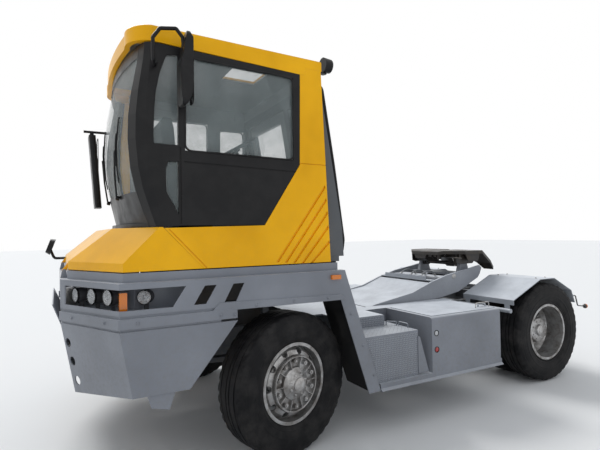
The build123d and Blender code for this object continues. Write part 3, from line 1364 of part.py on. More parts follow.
with BuildSketch(Plane.XY.offset(roof_underside[0] - 60)) as roof_plan:
    with BuildLine():
        ThreePointArc((visor_side_x, screen_y + visor_half), (visor_front_x, screen_y),
                      (visor_side_x, screen_y - visor_half))
        for side in (1, -1):
            ThreePointArc((visor_side_x, screen_y + side * visor_half),
                          (visor_corner[0], screen_y + side * visor_corner[1]),
                          (roof_corner_x, screen_y + side * roof_half))
            Line((roof_corner_x, screen_y + side * roof_half), (roof_rear_x, screen_y + side * roof_half))
        Line((roof_rear_x, cab_left), (roof_rear_x, cab_right))
    make_face()

roof_ends_x = (roof_rear_x - 5, visor_front_x + 20)

with BuildPart() as roof_cavity:
    with BuildSketch(Plane.XY.offset(roof_underside[0] - 60)):
        add(roof_plan.sketch)
        offset(amount=-roof_skin)
    extrude(amount=300)
    with BuildSketch(side_plane(cab_left)):
        with BuildLine():
            Polyline([(x, roof_underside[0] - 70) for x in roof_ends_x]
                     + [(x, roof_z(x, roof_top, roof_skin)) for x in reversed(roof_ends_x)], close=True)
        make_face()
    extrude(amount=cab_left - cab_right, mode=Mode.INTERSECT)

with BuildPart() as cab_roof:
    with BuildSketch(Plane.XY.offset(roof_underside[0] - 60)):
        add(roof_plan.sketch)
    extrude(amount=300)
    with BuildSketch(side_plane(cab_left + 10)):
        with BuildLine():
            Polyline([(x, roof_z(x, roof_underside)) for x in roof_ends_x]
                     + [(x, roof_z(x, roof_top)) for x in reversed(roof_ends_x)], close=True)
        make_face()
    extrude(amount=cab_left - cab_right + 20, mode=Mode.INTERSECT)
    fillet(cab_roof.faces().sort_by(Axis.Z)[-1].edges(), roof_edge_r)
    add(roof_cavity.part, mode=Mode.SUBTRACT)
    for side in (1, -1):
        with Locations(((rear_top_x + fit_gap + roof_rear_x - 20) / 2, screen_y + side * (roof_half - roof_skin / 2),
                        rear_top_z + fit_gap - 60)):
            Box(rear_top_x + fit_gap - roof_rear_x + 20, roof_skin + 13, 120, mode=Mode.SUBTRACT)
    with Locations((sum(skylight[0]) / 2, sum(skylight[1]) / 2, roof_top[1])):
        Box(skylight[0][1] - skylight[0][0], skylight[1][1] - skylight[1][0], 200, mode=Mode.SUBTRACT)
cab_roof.part.label = "cab_roof"
export_step(cab_roof.part, "parts/cab_roof.step")

# Fixed glass: windscreen, side and quarter panes, rear pane and skylight
with BuildPart() as cab_glass:
    levels = [z for z, ridge, front in post_rows if screen_bottom_z < z < header_z]
    for z in [screen_bottom_z + fit_gap] + levels + [header_z - fit_gap]:
        outer = arch(post_x(z, 2) - 3, screen_bulge, screen_half - fit_gap)
        inner = arch(post_x(z, 2) - 3 - screen_wall, screen_bulge, screen_half - fit_gap)
        with BuildSketch(Plane.XY.offset(z)):
            with BuildLine():
                ThreePointArc(*outer)
                ThreePointArc(*inner)
                Line(outer[0], inner[0])
                Line(outer[2], inner[2])
            make_face()
    loft(ruled=True)
    for window in [side_window] + quarter_windows:
        with BuildSketch(side_plane(cab_left - 18)):
            with BuildLine():
                Polyline(window, close=True)
            make_face()
            offset(amount=-fit_gap)
        extrude(amount=glass_wall)
    for window in right_windows:
        with BuildSketch(side_plane(cab_right + 24)):
            with BuildLine():
                Polyline(window, close=True)
            make_face()
            offset(amount=-fit_gap)
        extrude(amount=glass_wall)
    with BuildSketch(side_plane(rear_glass[0][1] - fit_gap)):
        with BuildLine():
            Polyline([(wall_x(z, 14), z) for z in (rear_glass[1][1] - fit_gap, rear_glass[1][0] + fit_gap)]
                     + [(wall_x(z, 14 + glass_wall), z) for z in (rear_glass[1][0] + fit_gap, rear_glass[1][1] - fit_gap)],
                     close=True)
        make_face()
    extrude(amount=rear_glass[0][1] - rear_glass[0][0] - 2 * fit_gap)
    with Locations((sum(skylight[0]) / 2, sum(skylight[1]) / 2, 2969)):
        Box(skylight[0][1] - skylight[0][0] - 2 * fit_gap, skylight[1][1] - skylight[1][0] - 2 * fit_gap, glass_wall)
cab_glass.part.label = "cab_glass"
export_step(cab_glass.part, "parts/cab_glass.step")

# Hood: folded plate from the windscreen sill down to a lip above the lamp band
hood_wall = 5
hood_inset = 50
hood_lip_z = 1470


hood_corner = body_plan(1803, hood_inset)[1]
hood_nose = body_plan(1803, hood_inset)[2]

with BuildPart() as hood_core:
    with BuildSketch(Plane.XY.offset(cab_bottom_z)):
        with BuildLine():
            Polyline(body_plan(1780, hood_inset), close=True)
        make_face()
    extrude(amount=cowl_z - cab_bottom_z)
    for side in (-1, 1):
        low = Vector(hood_corner[0], side * hood_corner[1], hood_lip_z)
        along = Vector(hood_nose[0] - hood_corner[0], side * (hood_nose[1] - hood_corner[1]), 0)
        top = Vector(2092, side * hood_corner[1], cowl_z)
        normal = along.cross(top - low)
        split(bisect_by=Plane(origin=low, x_dir=along, z_dir=normal), keep=Keep.BOTTOM if normal.Z > 0 else Keep.TOP)
    low = Vector(hood_nose[0], 0, hood_lip_z)
    split(bisect_by=Plane(origin=low, x_dir=(0, 1, 0), z_dir=Vector(cowl_z - hood_lip_z, 0, hood_nose[0] - 2330)),
          keep=Keep.BOTTOM)
    split(bisect_by=Plane(origin=(1803, 0, cab_bottom_z), x_dir=(0, 1, 0),
                          z_dir=Vector(cowl_z - cab_bottom_z, 0, 1803 - 2070)), keep=Keep.TOP)

with BuildPart() as hood:
    add(hood_core.part)
    offset(amount=-hood_wall, openings=hood.faces().sort_by(Axis.Z)[:1] + hood.faces().sort_by(Axis.X)[:1])
    for y in tilt_ears:
        with BuildSketch(side_plane(y)):
            with BuildLine():
                Polyline((front_x - hood_inset - 3, 1425), (front_x - hood_inset - 3, 1462), (tilt_pin.X + 12, tilt_pin.Z + 8),
                         (tilt_pin.X - 12, tilt_pin.Z - 4), close=True)
            make_face()
            with Locations((tilt_pin.X, tilt_pin.Z)):
                Circle(14)
                Circle(tilt_pin_r + fit_gap, mode=Mode.SUBTRACT)
        extrude(amount=tilt_ear_half, both=True)
hood.part.label = "hood"
export_step(hood.part, "parts/hood.step")

# Driver's station: seat and steering console on a turntable, facing the rear
seat_z = cab_bottom_z + cab_wall + 30 + fit_gap
turntable_wall = 20

with BuildPart() as seat:
    with BuildSketch(Plane.XY.offset(seat_z)):
        with Locations((station_pin.X, station_pin.Y)):
            Circle(station_pin_r + 60)
    extrude(amount=turntable_wall)
    with BuildSketch(Plane.XY.offset(seat_z)):
        with Locations((station_pin.X + 110, station_pin.Y)):
            Rectangle(330, 300)
    extrude(amount=320, taper=6)
    with BuildSketch(Plane.XY.offset(seat_z + 320)):
        with Locations((station_pin.X + 90, station_pin.Y)):
            RectangleRounded(460, 480, 60)
    extrude(amount=110)
    with BuildSketch(side_plane(station_pin.Y)):
        with BuildLine():
            Polyline((station_pin.X + 250, seat_z + 330), (station_pin.X + 330, seat_z + 340),
                     (station_pin.X + 400, seat_z + 1010), (station_pin.X + 380, seat_z + 1080),
                     (station_pin.X + 320, seat_z + 1080), (station_pin.X + 300, seat_z + 1000), close=True)
        make_face()
    extrude(amount=210, both=True)
seat.part.label = "seat"
export_step(seat.part, "parts/seat.step")

wheel_hub = Vector(1262, 400, 2368)
wheel_axis = Vector(0.5, 0, 0.866)
steering_wheel_r = 205
steering_rim_r = 14

with BuildPart() as steering_console:
    with BuildSketch(side_plane(station_pin.Y)):
        with BuildLine():
            Polyline((station_pin.X - 330, seat_z), (station_pin.X - 60, seat_z),
                     (station_pin.X - 60, seat_z + turntable_wall), (station_pin.X - 250, seat_z + turntable_wall + 40),
                     (wheel_hub.X + 40, wheel_hub.Z - 70), (wheel_hub.X - 70, wheel_hub.Z - 10),
                     (station_pin.X - 400, seat_z + 100), close=True)
        make_face()
    extrude(amount=70, both=True)
    with BuildSketch(Plane.XY.offset(seat_z - 1)):
        with Locations((station_pin.X, station_pin.Y)):
            Circle(station_pin_r + 60 + fit_gap)
    extrude(amount=turntable_wall + 1 + fit_gap, mode=Mode.SUBTRACT)
    with BuildSketch(Plane(origin=wheel_hub, x_dir=(0, 1, 0), z_dir=wheel_axis)):
        Circle(150)
    extrude(amount=200, mode=Mode.SUBTRACT)
    with BuildSketch(Plane(origin=wheel_hub - wheel_axis * 60, x_dir=(0, 1, 0), z_dir=wheel_axis)):
        Circle(16)
    extrude(amount=60 + 12)
steering_console.part.label = "steering_console"
export_step(steering_console.part, "parts/steering_console.step")

with BuildPart() as steering_wheel:
    with BuildSketch(Plane(origin=wheel_hub + wheel_axis * 34, x_dir=wheel_axis, z_dir=(0, 1, 0))):
        with Locations((0, steering_wheel_r - steering_rim_r)):
            Circle(steering_rim_r)
    revolve(axis=Axis(wheel_hub, wheel_axis))
    with BuildSketch(Plane(origin=wheel_hub + wheel_axis * 1, x_dir=(0, 1, 0), z_dir=wheel_axis)):
        Circle(42)
    extrude(amount=44)
    with BuildSketch(Plane(origin=wheel_hub + wheel_axis * 26, x_dir=(0, 1, 0), z_dir=wheel_axis)):
        with PolarLocations(steering_wheel_r / 2, 3, start_angle=90):
            Rectangle(steering_wheel_r - 2 * steering_rim_r + 12, 30)
    extrude(amount=14)
    with BuildSketch(Plane(origin=wheel_hub, x_dir=(0, 1, 0), z_dir=wheel_axis)):
        Circle(16 + fit_gap)
    extrude(amount=14, mode=Mode.SUBTRACT)
steering_wheel.part.label = "steering_wheel"
export_step(steering_wheel.part, "parts/steering_wheel.step")

# Mirrors on their arms: left side, right front corner of the cab, right front corner of the hood
mirror_arm_r = 12
left_mirror_y = 1292
left_mirror_width = 120
left_mirror_side = [(1918, 2961), (1902, 2913), (1898, 2784), (1897, 2612), (1907, 2544), (1930, 2490), (1952, 2468),
                    (1968, 2480), (1976, 2594), (1977, 2749), (1962, 2800), (1950, 2880), (1934, 2955)]
left_arm = [(2112, cab_left - frame_drop + fit_gap, 2746), (2112, 1240, 2746), (2140, 1300, 2746), (2140, 1300, 2885),
            (2096, 1300, 2950), (1995, 1300, 2968), (1955, 1300, 2920), (1945, 1300, 2840)]
right_arm = [(2070, cab_right - fit_gap, 2655), (2070, -600, 2655), (2445, -600, 2655)]
right_mirror_rows = [(1915, 2325), (2612, 2374)]
right_mirror_size = (60, 190)
corner_mirror = Vector(2740, -600, 1569)
corner_arm = [(front_x - hood_inset + fit_gap, -600, 1445), (2700, -600, 1445),
              (corner_mirror.X, -600, corner_mirror.Z - 20)]

with BuildPart() as mirrors:
    with BuildSketch(side_plane(left_mirror_y + left_mirror_width / 2)):
        with BuildLine():
            Polyline(left_mirror_side, close=True)
        make_face()
    extrude(amount=left_mirror_width)
    with BuildSketch(Plane.YZ.offset(1800)):
        with Locations((left_mirror_y, (left_mirror_side[0][1] + left_mirror_side[6][1]) / 2)):
            RectangleRounded(left_mirror_width, left_mirror_side[0][1] - left_mirror_side[6][1], 45)
    extrude(amount=300, mode=Mode.INTERSECT)
    for z, x in right_mirror_rows:
        with BuildSketch(Plane.XY.offset(z)):
            with Locations((x, right_arm[1][1])):
                RectangleRounded(*right_mirror_size, 22)
    loft(ruled=True)
    with Locations((right_mirror_rows[1][1], right_arm[1][1], (right_mirror_rows[1][0] + right_arm[1][2]) / 2)):
        Box(34, 30, right_arm[1][2] - right_mirror_rows[1][0] + 10)
    for points, radius, way in ((left_arm, 14, (0, 1, 0)), (right_arm, 40, (0, -1, 0)), (corner_arm, 30, (1, 0, 0))):
        with BuildLine():
            FilletPolyline(points, radius=radius)
        with BuildSketch(Plane(origin=points[0], z_dir=way)):
            Circle(mirror_arm_r)
        sweep()
    with BuildSketch(Plane(origin=corner_mirror - Vector(30, 0, 20), x_dir=(0, 1, 0), z_dir=(0.94, 0, 0.34))):
        SlotOverall(230, 150)
    extrude(amount=44, taper=14)
mirrors.part.label = "mirrors"
export_step(mirrors.part, "parts/mirrors.step")

# Handrail behind the cab, with the work lamp on its bracket
rail_tube_r = 16
handrail_y = 1000
handrail_points = [(roof_rear_x - fit_gap, 2868), (735, 2868), (630, 2210), (543, 1580), (560, 1478),
                   (wall_x(1478) - 1.3, 1478)]

with BuildPart() as handrail:
    with BuildLine():
        FilletPolyline([Vector(x, handrail_y, z) for x, z in handrail_points], radius=[60, 700, 120, 30])
    with BuildSketch(Plane(origin=(handrail_points[0][0], handrail_y, handrail_points[0][1]), z_dir=(-1, 0, 0))):
        Circle(rail_tube_r)
    sweep()
    with Locations((roof_rear_x - fit_gap - 45, 1100, 2925)):
        Box(90, 40, 8)
    with Locations((roof_rear_x - 90, 1100, 2945)):
        Box(24, 24, 44)
    with BuildSketch(Plane.YZ.offset(roof_rear_x - 70)):
        with Locations((1100, 2995)):
            Circle(62)
    extrude(amount=-70, taper=6)
handrail.part.label = "handrail"
export_step(handrail.part, "parts/handrail.step")

# Marker lamps: front indicators, side markers and the stalks at the rear corners
stalk_y = 1085
stalk_r = 7
stalk_reach = 235
indicator = (corner_x - 30, half_width - 68)
side_marker = (788, 1301)
with BuildPart() as marker_lamps:
    for side in (-1, 1):
        with Locations((indicator[0], side * indicator[1], lamp_floor_z)):
            Box(46, 46, 130, align=(Align.CENTER, Align.CENTER, Align.MIN))
        with Locations((side_marker[0], side * (half_width + 12 + fit_gap), side_marker[1])):
            Box(80, 24, 34)
        stalk_start = Vector(fender_tubes[1][0] - fender_tube_r - fit_gap, side * stalk_y, fender_tubes[1][1])
        with BuildLine():
            FilletPolyline(stalk_start, stalk_start + Vector(-60, 0, 0), stalk_start + Vector(-100, 0, -120),
                           stalk_start + Vector(-stalk_reach, 0, -140), radius=25)
        with BuildSketch(Plane(origin=stalk_start, z_dir=(-1, 0, 0))):
            Circle(stalk_r)
        sweep()
        with Locations(stalk_start + Vector(-stalk_reach - 15, 0, -140)):
            Sphere(28)
marker_lamps.part.label = "marker_lamps"
export_step(marker_lamps.part, "parts/marker_lamps.step")

with BuildPart() as rear_lamps:
    for side in (-1, 1):
        with Locations((rail_rear_x - crosshead_plate - 22 - fit_gap, side * 390, 800)):
            Box(44, 200, 76)
rear_lamps.part.label = "rear_lamps"
export_step(rear_lamps.part, "parts/rear_lamps.step")

# Hose bracket on the lift arm in front of the fifth wheel
with BuildPart() as hose_bracket:
    with Locations((-1040, 0, 1085)):
        Box(90, 2 * arm_inner_y - 2 * fit_gap, 8)
    with Locations((-1000, 0, 1105)):
        Box(8, 2 * arm_inner_y - 160, 48)
    for y in (-180, 0, 180):
        with BuildSketch(Plane.YZ.offset(-1090)):
            with Locations((y, 1108)):
                Circle(24)
        extrude(amount=84)
hose_bracket.part.label = "hose_bracket"
export_step(hose_bracket.part, "parts/hose_bracket.step")

# Air cleaner on the deck right of the cab
with BuildPart() as air_cleaner:
    with BuildSketch(Plane.YZ.offset(900)):
        with Locations((-820, 1590)):
            Circle(150)
    extrude(amount=520)
    for x in (960, 1340):
        with Locations((x, -820, 1500)):
            Box(40, 240, 2 * (1500 - wing_top_z - cab_beam_height - 2 * fit_gap - deck_plate))
    with BuildSketch(Plane.XY.offset(1700)):
        with Locations((1330, -820)):
            Circle(55)
    extrude(amount=130)
    with BuildSketch(Plane.XY.offset(1830)):
        with Locations((1330, -820)):
            Circle(95)
    extrude(amount=50, taper=12)
air_cleaner.part.label = "air_cleaner"
export_step(air_cleaner.part, "parts/air_cleaner.step")
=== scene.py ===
# %% [markdown]
# A terminal tractor, dressed for its portrait.
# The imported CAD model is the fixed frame: every solid is already in its place, in metres, with +X forward,
# +Y to the left and +Z up. This file gives each solid a real finish and adds what CAD left plain: tread,
# bolts, tread plate, wipers, lamp insides and trim.

# %% Load the frame
from math import cos, pi, radians, sin

import bmesh
import bpy
from mathutils import Matrix, Vector


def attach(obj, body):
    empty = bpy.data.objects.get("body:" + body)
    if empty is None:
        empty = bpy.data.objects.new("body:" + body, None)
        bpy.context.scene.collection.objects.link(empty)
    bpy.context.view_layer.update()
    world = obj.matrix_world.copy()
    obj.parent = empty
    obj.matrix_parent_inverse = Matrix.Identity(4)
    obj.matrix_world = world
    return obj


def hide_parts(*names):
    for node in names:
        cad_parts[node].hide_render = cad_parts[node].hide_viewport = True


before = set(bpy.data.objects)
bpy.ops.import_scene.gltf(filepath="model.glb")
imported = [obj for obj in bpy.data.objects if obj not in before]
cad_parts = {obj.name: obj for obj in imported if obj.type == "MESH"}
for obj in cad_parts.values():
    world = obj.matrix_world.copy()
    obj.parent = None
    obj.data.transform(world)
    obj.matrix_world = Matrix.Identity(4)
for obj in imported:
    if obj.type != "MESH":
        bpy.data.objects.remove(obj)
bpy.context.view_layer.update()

scene = bpy.context.scene
up, left = Vector((0, 0, 1)), Vector((0, 1, 0))

# %% [markdown]
# The camera comes first, because everything is judged through it. The photographer stood in front of the
# tractor's left side, at about eye height, and tilted the camera up by one degree. The three angles turn into
# the camera's own axes, and those make the columns of its matrix.

# %% The photographer's camera
camera_place = Vector((2.672, 4.193, 1.645))
camera_yaw, camera_pitch, camera_roll = radians(241.72), radians(1.0), radians(-0.92)
look = Vector((cos(camera_yaw) * cos(camera_pitch), sin(camera_yaw) * cos(camera_pitch), sin(camera_pitch)))
level_right = look.cross(up).normalized()
level_up = level_right.cross(look)
camera_right = level_right * cos(camera_roll) + level_up * sin(camera_roll)
camera_up = camera_right.cross(look)
camera = bpy.data.objects.new("camera", bpy.data.cameras.new("camera"))
camera.data.sensor_width = 36
camera.data.lens = 27.05
camera.data.clip_start = 0.05
camera_axes = Matrix((camera_right, camera_up, -look)).transposed().to_4x4()
camera.matrix_world = Matrix.Translation(camera_place) @ camera_axes
scene.collection.objects.link(camera)
scene.camera = camera

# %% [markdown]
# The studio is a pale floor under an even sky. A large soft sun from the front left gives the faces of the
# folded plate their different tones. The background turns white only for the camera and for reflections, so
# no extra light falls on the tractor.

# %% Floor, sky and lamp
scene.view_settings.view_transform = "Standard"


def new_material(name):
    """A node material with its tree and its surface shader."""
    material = bpy.data.materials.new(name)
    material.use_nodes = True
    tree = material.node_tree
    return material, tree, tree.nodes["Principled BSDF"]


def fill(tree, made, inputs):
    """Fills a node's inputs: a socket is linked, and anything else is set as a value."""
    for key, value in dict(inputs).items():
        if isinstance(value, bpy.types.NodeSocket):
            tree.links.new(value, made.inputs[key])
        else:
            made.inputs[key].default_value = value


def node(tree, kind, inputs=(), **properties):
    """Adds a node, sets its properties and fills its inputs."""
    made = tree.nodes.new(kind)
    for key, value in properties.items():
        setattr(made, key, value)
    fill(tree, made, inputs)
    return made


def maths(tree, operation, *values):
    """The result of one sum on values and sockets."""
    return node(tree, "ShaderNodeMath", dict(enumerate(values)), operation=operation).outputs[0]


world = bpy.data.worlds.new("sky")
world.use_nodes = True
sky_tree = world.node_tree
sky_light = sky_tree.nodes["Background"]
fill(sky_tree, sky_light, {"Color": (0.90, 0.94, 1.0, 1), "Strength": 0.72})
sky_white = node(sky_tree, "ShaderNodeBackground", {"Color": (1, 1, 1, 1)})
ray = node(sky_tree, "ShaderNodeLightPath").outputs
seen = maths(sky_tree, "MAXIMUM", ray["Is Camera Ray"], ray["Is Transmission Ray"])
seen = maths(sky_tree, "MAXIMUM", seen, ray["Is Glossy Ray"])
sky_mix = node(sky_tree, "ShaderNodeMixShader", {0: seen, 1: sky_light.outputs[0], 2: sky_white.outputs[0]})
fill(sky_tree, sky_tree.nodes["World Output"], {"Surface": sky_mix.outputs[0]})
scene.world = world

floor_material, floor_tree, floor_shader = new_material("pale_floor")
fill(floor_tree, floor_shader, {"Base Color": (0.80, 0.80, 0.79, 1), "Roughness": 0.85})
floor_mesh = bpy.data.meshes.new("floor")
floor_mesh.from_pydata([(-60, -60, 0), (60, -60, 0), (60, 60, 0), (-60, 60, 0)], [], [(0, 1, 2, 3)])
floor_mesh.materials.append(floor_material)
floor = bpy.data.objects.new("floor", floor_mesh)
scene.collection.objects.link(floor)

sun = bpy.data.objects.new("soft_sun", bpy.data.lights.new("soft_sun", "SUN"))
sun.data.energy = 1.7
sun.data.angle = radians(25)
sun.rotation_euler = (radians(38), radians(22), radians(-12))
scene.collection.objects.link(sun)

# %% [markdown]
# Sprayed plate is never one flat colour. This finish mixes three things: a slow change of tone over the sheet,
# road dust that is thick low down and fades upwards, and edges where the paint is thin. The bevel node rounds
# the light at each fold, and comparing its normal with the true one finds the edges.

# %% Sprayed steel plate
def object_place(tree):
    """Object coordinates: they stay with the piece when it moves."""
    return node(tree, "ShaderNodeTexCoord").outputs["Object"]


def split(tree, vector):
    """X, Y and Z of a vector."""
    return node(tree, "ShaderNodeSeparateXYZ", {0: vector}).outputs


def noise(tree, place, scale, detail=4.0, rough=0.55):
    """Noise on object coordinates, about 0.3 to 0.7."""
    values = {"Vector": place, "Scale": scale, "Detail": detail, "Roughness": rough}
    return node(tree, "ShaderNodeTexNoise", values).outputs["Fac"]


def spread(tree, value, low, high, out_low=0.0, out_high=1.0):
    """Stretches a value to a new range."""
    values = {"Value": value, "From Min": low, "From Max": high, "To Min": out_low, "To Max": out_high}
    return node(tree, "ShaderNodeMapRange", values).outputs[0]


def times(tree, a, b):
    """Product of two values."""
    return maths(tree, "MULTIPLY", a, b)


def within(tree, value, low, high):
    """1 where a value lies between two limits."""
    return times(tree, maths(tree, "GREATER_THAN", value, low), maths(tree, "LESS_THAN", value, high))


def blend_colour(tree, amount, first, second):
    """Mixes two colours; each is a colour or a socket."""
    first, second = (c if isinstance(c, bpy.types.NodeSocket) else (*c, 1) for c in (first, second))
    return node(tree, "ShaderNodeMix", {0: amount, 6: first, 7: second}, data_type="RGBA").outputs[2]


def repaint(material, mask, inside=None, outside=None):
    """Repaints where a mask is 1 (inside) or 0 (outside). None keeps the colour that is there."""
    tree = material.node_tree
    socket = tree.nodes["Principled BSDF"].inputs["Base Color"]
    there = socket.links[0].from_socket
    tree.links.new(blend_colour(tree, mask, outside or there, inside or there), socket)


def soft_normal(tree, width):
    """A normal that looks round each fold, so that light rounds it."""
    return node(tree, "ShaderNodeBevel", {"Radius": width}, samples=4).outputs[0]


def edge_mask(tree, soft, low, high):
    """1 on folds and corners, where the soft normal differs from the true one."""
    true = node(tree, "ShaderNodeNewGeometry").outputs["Normal"]
    match = node(tree, "ShaderNodeVectorMath", {0: soft, 1: true}, operation="DOT_PRODUCT")
    return spread(tree, match.outputs["Value"], high, low)


def grained(tree, shader, height, soft, strength, depth=0.001):
    """Lays a fine grain over the softened folds."""
    values = {"Strength": strength, "Distance": depth, "Height": height, "Normal": soft}
    fill(tree, shader, {"Normal": node(tree, "ShaderNodeBump", values).outputs[0]})


dust_brown, sky_sheen_and_dust_colour, moulded_dust = (0.2, 0.18, 0.15), (0.66, 0.69, 0.73), (0.16, 0.15, 0.14)
paint_fold, moulded_fold, metal_fold = 0.004, 0.003, 0.002


def sprayed(name, colour, dust=0.5, dust_top=1.1, gloss=0.38, edge=0.25, shine=0.4, sheen_and_dust=0.0, metal=0.0):
    """Paint with a slow change of tone, dust low down, dust and painted sky sheen on faces that look up, and thin
    paint on the edges.
    """
    material, tree, shader = new_material(name)
    place = object_place(tree)
    darker, lighter, thin = (tuple(min(1, c * share + extra) for c in colour)
                             for share, extra in ((0.86, 0), (1.1, 0.004), (1.5, 0.03)))
    tone = blend_colour(tree, spread(tree, noise(tree, place, 1.7, 3), 0.35, 0.65), darker, lighter)
    low = spread(tree, split(tree, place)["Z"], 0.15, dust_top, 1.0, 0.08)
    speckle = spread(tree, noise(tree, place, 38, 6, 0.7), 0.42, 0.68)
    dirt = times(tree, times(tree, low, speckle), dust)
    coat_colour = blend_colour(tree, dirt, tone, dust_brown)
    # Faces that look up turn a pale blue-grey in patches: partly settled dust, partly a painted sheen of the sky.
    facing_up = split(tree, node(tree, "ShaderNodeTexCoord").outputs["Normal"])["Z"]
    patches = spread(tree, noise(tree, place, 4.5, 5, 0.65), 0.3, 0.62, 0.55, 1.0)
    lit_and_dusty_top = times(tree, spread(tree, facing_up, 0.55, 0.97), patches)
    coat_colour = blend_colour(tree, times(tree, lit_and_dusty_top, sheen_and_dust), coat_colour, sky_sheen_and_dust_colour)
    soft = soft_normal(tree, paint_fold)
    worn = times(tree, edge_mask(tree, soft, 0.9, 0.995), edge)
    fill(tree, shader, {"Base Color": blend_colour(tree, worn, coat_colour, thin), "Metallic": metal,
                        "Roughness": spread(tree, dirt, 0, 0.5, gloss, 0.85), "Specular IOR Level": shine})
    grained(tree, shader, noise(tree, place, 160, 2), soft, 0.1)
    return material


cab_yellow = {"colour": (0.95, 0.46, 0.0), "dust": 0.10, "dust_top": 2.2, "gloss": 0.28, "edge": 0.05, "shine": 0.2}
yellow_paint = sprayed("yellow_paint", **cab_yellow)
cab_paint = sprayed("cab_paint", **cab_yellow)
wing_paint = sprayed("wing_paint", (0.215, 0.230, 0.262), dust=0.35, dust_top=1.5, gloss=0.34, edge=0.30,
                     sheen_and_dust=0.6)
# A lighter copy of the wing's blue-grey, same hue, for the lid, deck plates, rear fenders and hose bracket: painted
# sky light on parts that face up.
sky_lit_top_paint = sprayed("sky_lit_top_paint", (0.36, 0.385, 0.42), dust=0.25, dust_top=1.6, gloss=0.42, edge=0.30,
                    sheen_and_dust=0.85)
frame_paint = sprayed("frame_paint", (0.10, 0.11, 0.125), dust=0.9, dust_top=1.3, gloss=0.55, edge=0.2)
wall_paint = sprayed("wall_paint", (0.085, 0.092, 0.10), dust=0.3, dust_top=1.8, gloss=0.45, edge=0.2)
arm_paint = sprayed("arm_paint", (0.29, 0.305, 0.335), dust=0.30, dust_top=1.6, gloss=0.40, edge=0.30,
                    sheen_and_dust=0.85)
# Paler than the plate the studs stand on: a painted highlight on the tread studs.
stud_highlight_paint = sprayed("stud_highlight_paint", (0.46, 0.49, 0.53), dust=0.2, dust_top=1.4, gloss=0.36)
worn_steel = sprayed("worn_steel", (0.33, 0.34, 0.35), dust=0.5, dust_top=1.6, gloss=0.33, metal=0.5)


# The cab's plate is yellow outside and grey inside. The mask is the room between its walls, under the sloping roof.
tree = cab_paint.node_tree
x, y, z = split(tree, object_place(tree))
under_roof = maths(tree, "MULTIPLY_ADD", x, -0.0258, z)
behind = times(tree, within(tree, y, -0.396, 1.167), within(tree, x, 0.4, 2.06))
middle = times(tree, within(tree, y, -0.15, 0.93), within(tree, x, 0.4, 2.235))
room = times(tree, maths(tree, "MAXIMUM", behind, middle), within(tree, under_roof, 0, 2.938))
repaint(cab_paint, room, inside=(0.21, 0.22, 0.225))
print("sprayed paints ready")

# %% [markdown]
# Rubber and moulded plastic share a recipe: dark, hardly coloured, and told apart by their gloss and grain.
# Tyres get a little more of the grey road dust, in patches.

# %% Rubber, plastic and cloth
def moulded(name, colour, gloss, grain_scale, grain, dust=0.15, shine=0.22):
    """Plastic or rubber with a fine grain and a little dust in patches."""
    material, tree, shader = new_material(name)
    place = object_place(tree)
    patches = spread(tree, noise(tree, place, 7, 5, 0.6), 0.42, 0.7)
    fill(tree, shader, {"Base Color": blend_colour(tree, times(tree, patches, dust), colour, moulded_dust),
                        "Roughness": spread(tree, patches, 0, 1, gloss, min(1, gloss + 0.18)),
                        "Specular IOR Level": shine})
    grained(tree, shader, noise(tree, place, grain_scale, 2), soft_normal(tree, moulded_fold), grain)
    return material


tyre_rubber = moulded("tyre_rubber", (0.008, 0.008, 0.009), 0.58, 220, 0.25, dust=0.17, shine=0.15)
trim_rubber = moulded("trim_rubber", (0.009, 0.009, 0.010), 0.55, 300, 0.15)
frame_black = moulded("frame_black", (0.008, 0.008, 0.009), 0.30, 260, 0.10, dust=0.05)
console_plastic = moulded("console_plastic", (0.05, 0.05, 0.055), 0.5, 400, 0.3)
hose_grey = moulded("hose_grey", (0.20, 0.21, 0.22), 0.35, 420, 0.5, shine=0.5)
seat_cloth = moulded("seat_cloth", (0.035, 0.035, 0.04), 0.9, 900, 0.8)

# %% [markdown]
# Bare metal: the cylinders' rods are chromed, and the wheels are silver paint under patches of brown brake dust.
# The fifth wheel is black iron under a thick coat of grease, which is dark, smooth in places and lumpy.

# %% Chrome, wheel silver and greasy iron
def metal_finish(name, colour, gloss, metallic, stain, stain_amount, stain_scale=14, lumps=0.1, lump_scale=60):
    """Metal or metallic paint with stained patches and a slightly uneven surface."""
    material, tree, shader = new_material(name)
    place = object_place(tree)
    patches = times(tree, spread(tree, noise(tree, place, stain_scale, 6, 0.65), 0.38, 0.66), stain_amount)
    fill(tree, shader, {"Base Color": blend_colour(tree, patches, colour, stain), "Metallic": metallic,
                        "Roughness": spread(tree, patches, 0, 1, gloss, min(1, gloss + 0.4))})
    grained(tree, shader, noise(tree, place, lump_scale, 3), soft_normal(tree, metal_fold), lumps, 0.003)
    return material


rod_chrome = metal_finish("rod_chrome", (0.75, 0.75, 0.76), 0.12, 1.0, (0.25, 0.22, 0.2), 0.3)
wheel_silver = metal_finish("wheel_silver", (0.46, 0.46, 0.46), 0.34, 0.75, (0.11, 0.09, 0.075), 0.75, 11)
greasy_iron = metal_finish("greasy_iron", (0.018, 0.018, 0.019), 0.30, 0.3, (0.07, 0.055, 0.04), 0.7, 9, 0.8, 34)
dusty_iron = metal_finish("dusty_iron", (0.07, 0.07, 0.072), 0.6, 0.3, (0.14, 0.12, 0.10), 0.8, 6, 0.4, 90)
bright_steel = metal_finish("bright_steel", (0.5, 0.5, 0.5), 0.35, 0.9, (0.16, 0.13, 0.11), 0.5, 30)

# %% [markdown]
# Glass and lenses. A thin pane is easiest as a slightly tinted, mostly see-through surface: light then reaches
# the cab's inside, and the render stays clean. Lenses are coloured plastic with a clear, glossy coat.

# %% Glass and lenses
def clear_pane(name, colour, alpha):
    """A see-through pane with a glossy face and a breath of dirt."""
    material, tree, shader = new_material(name)
    film = spread(tree, noise(tree, object_place(tree), 5, 5, 0.6), 0.45, 0.75, alpha, min(1, alpha + 0.12))
    fill(tree, shader, {"Alpha": film, "Base Color": (*colour, 1), "Roughness": 0.03, "Specular IOR Level": 0.9})
    return material


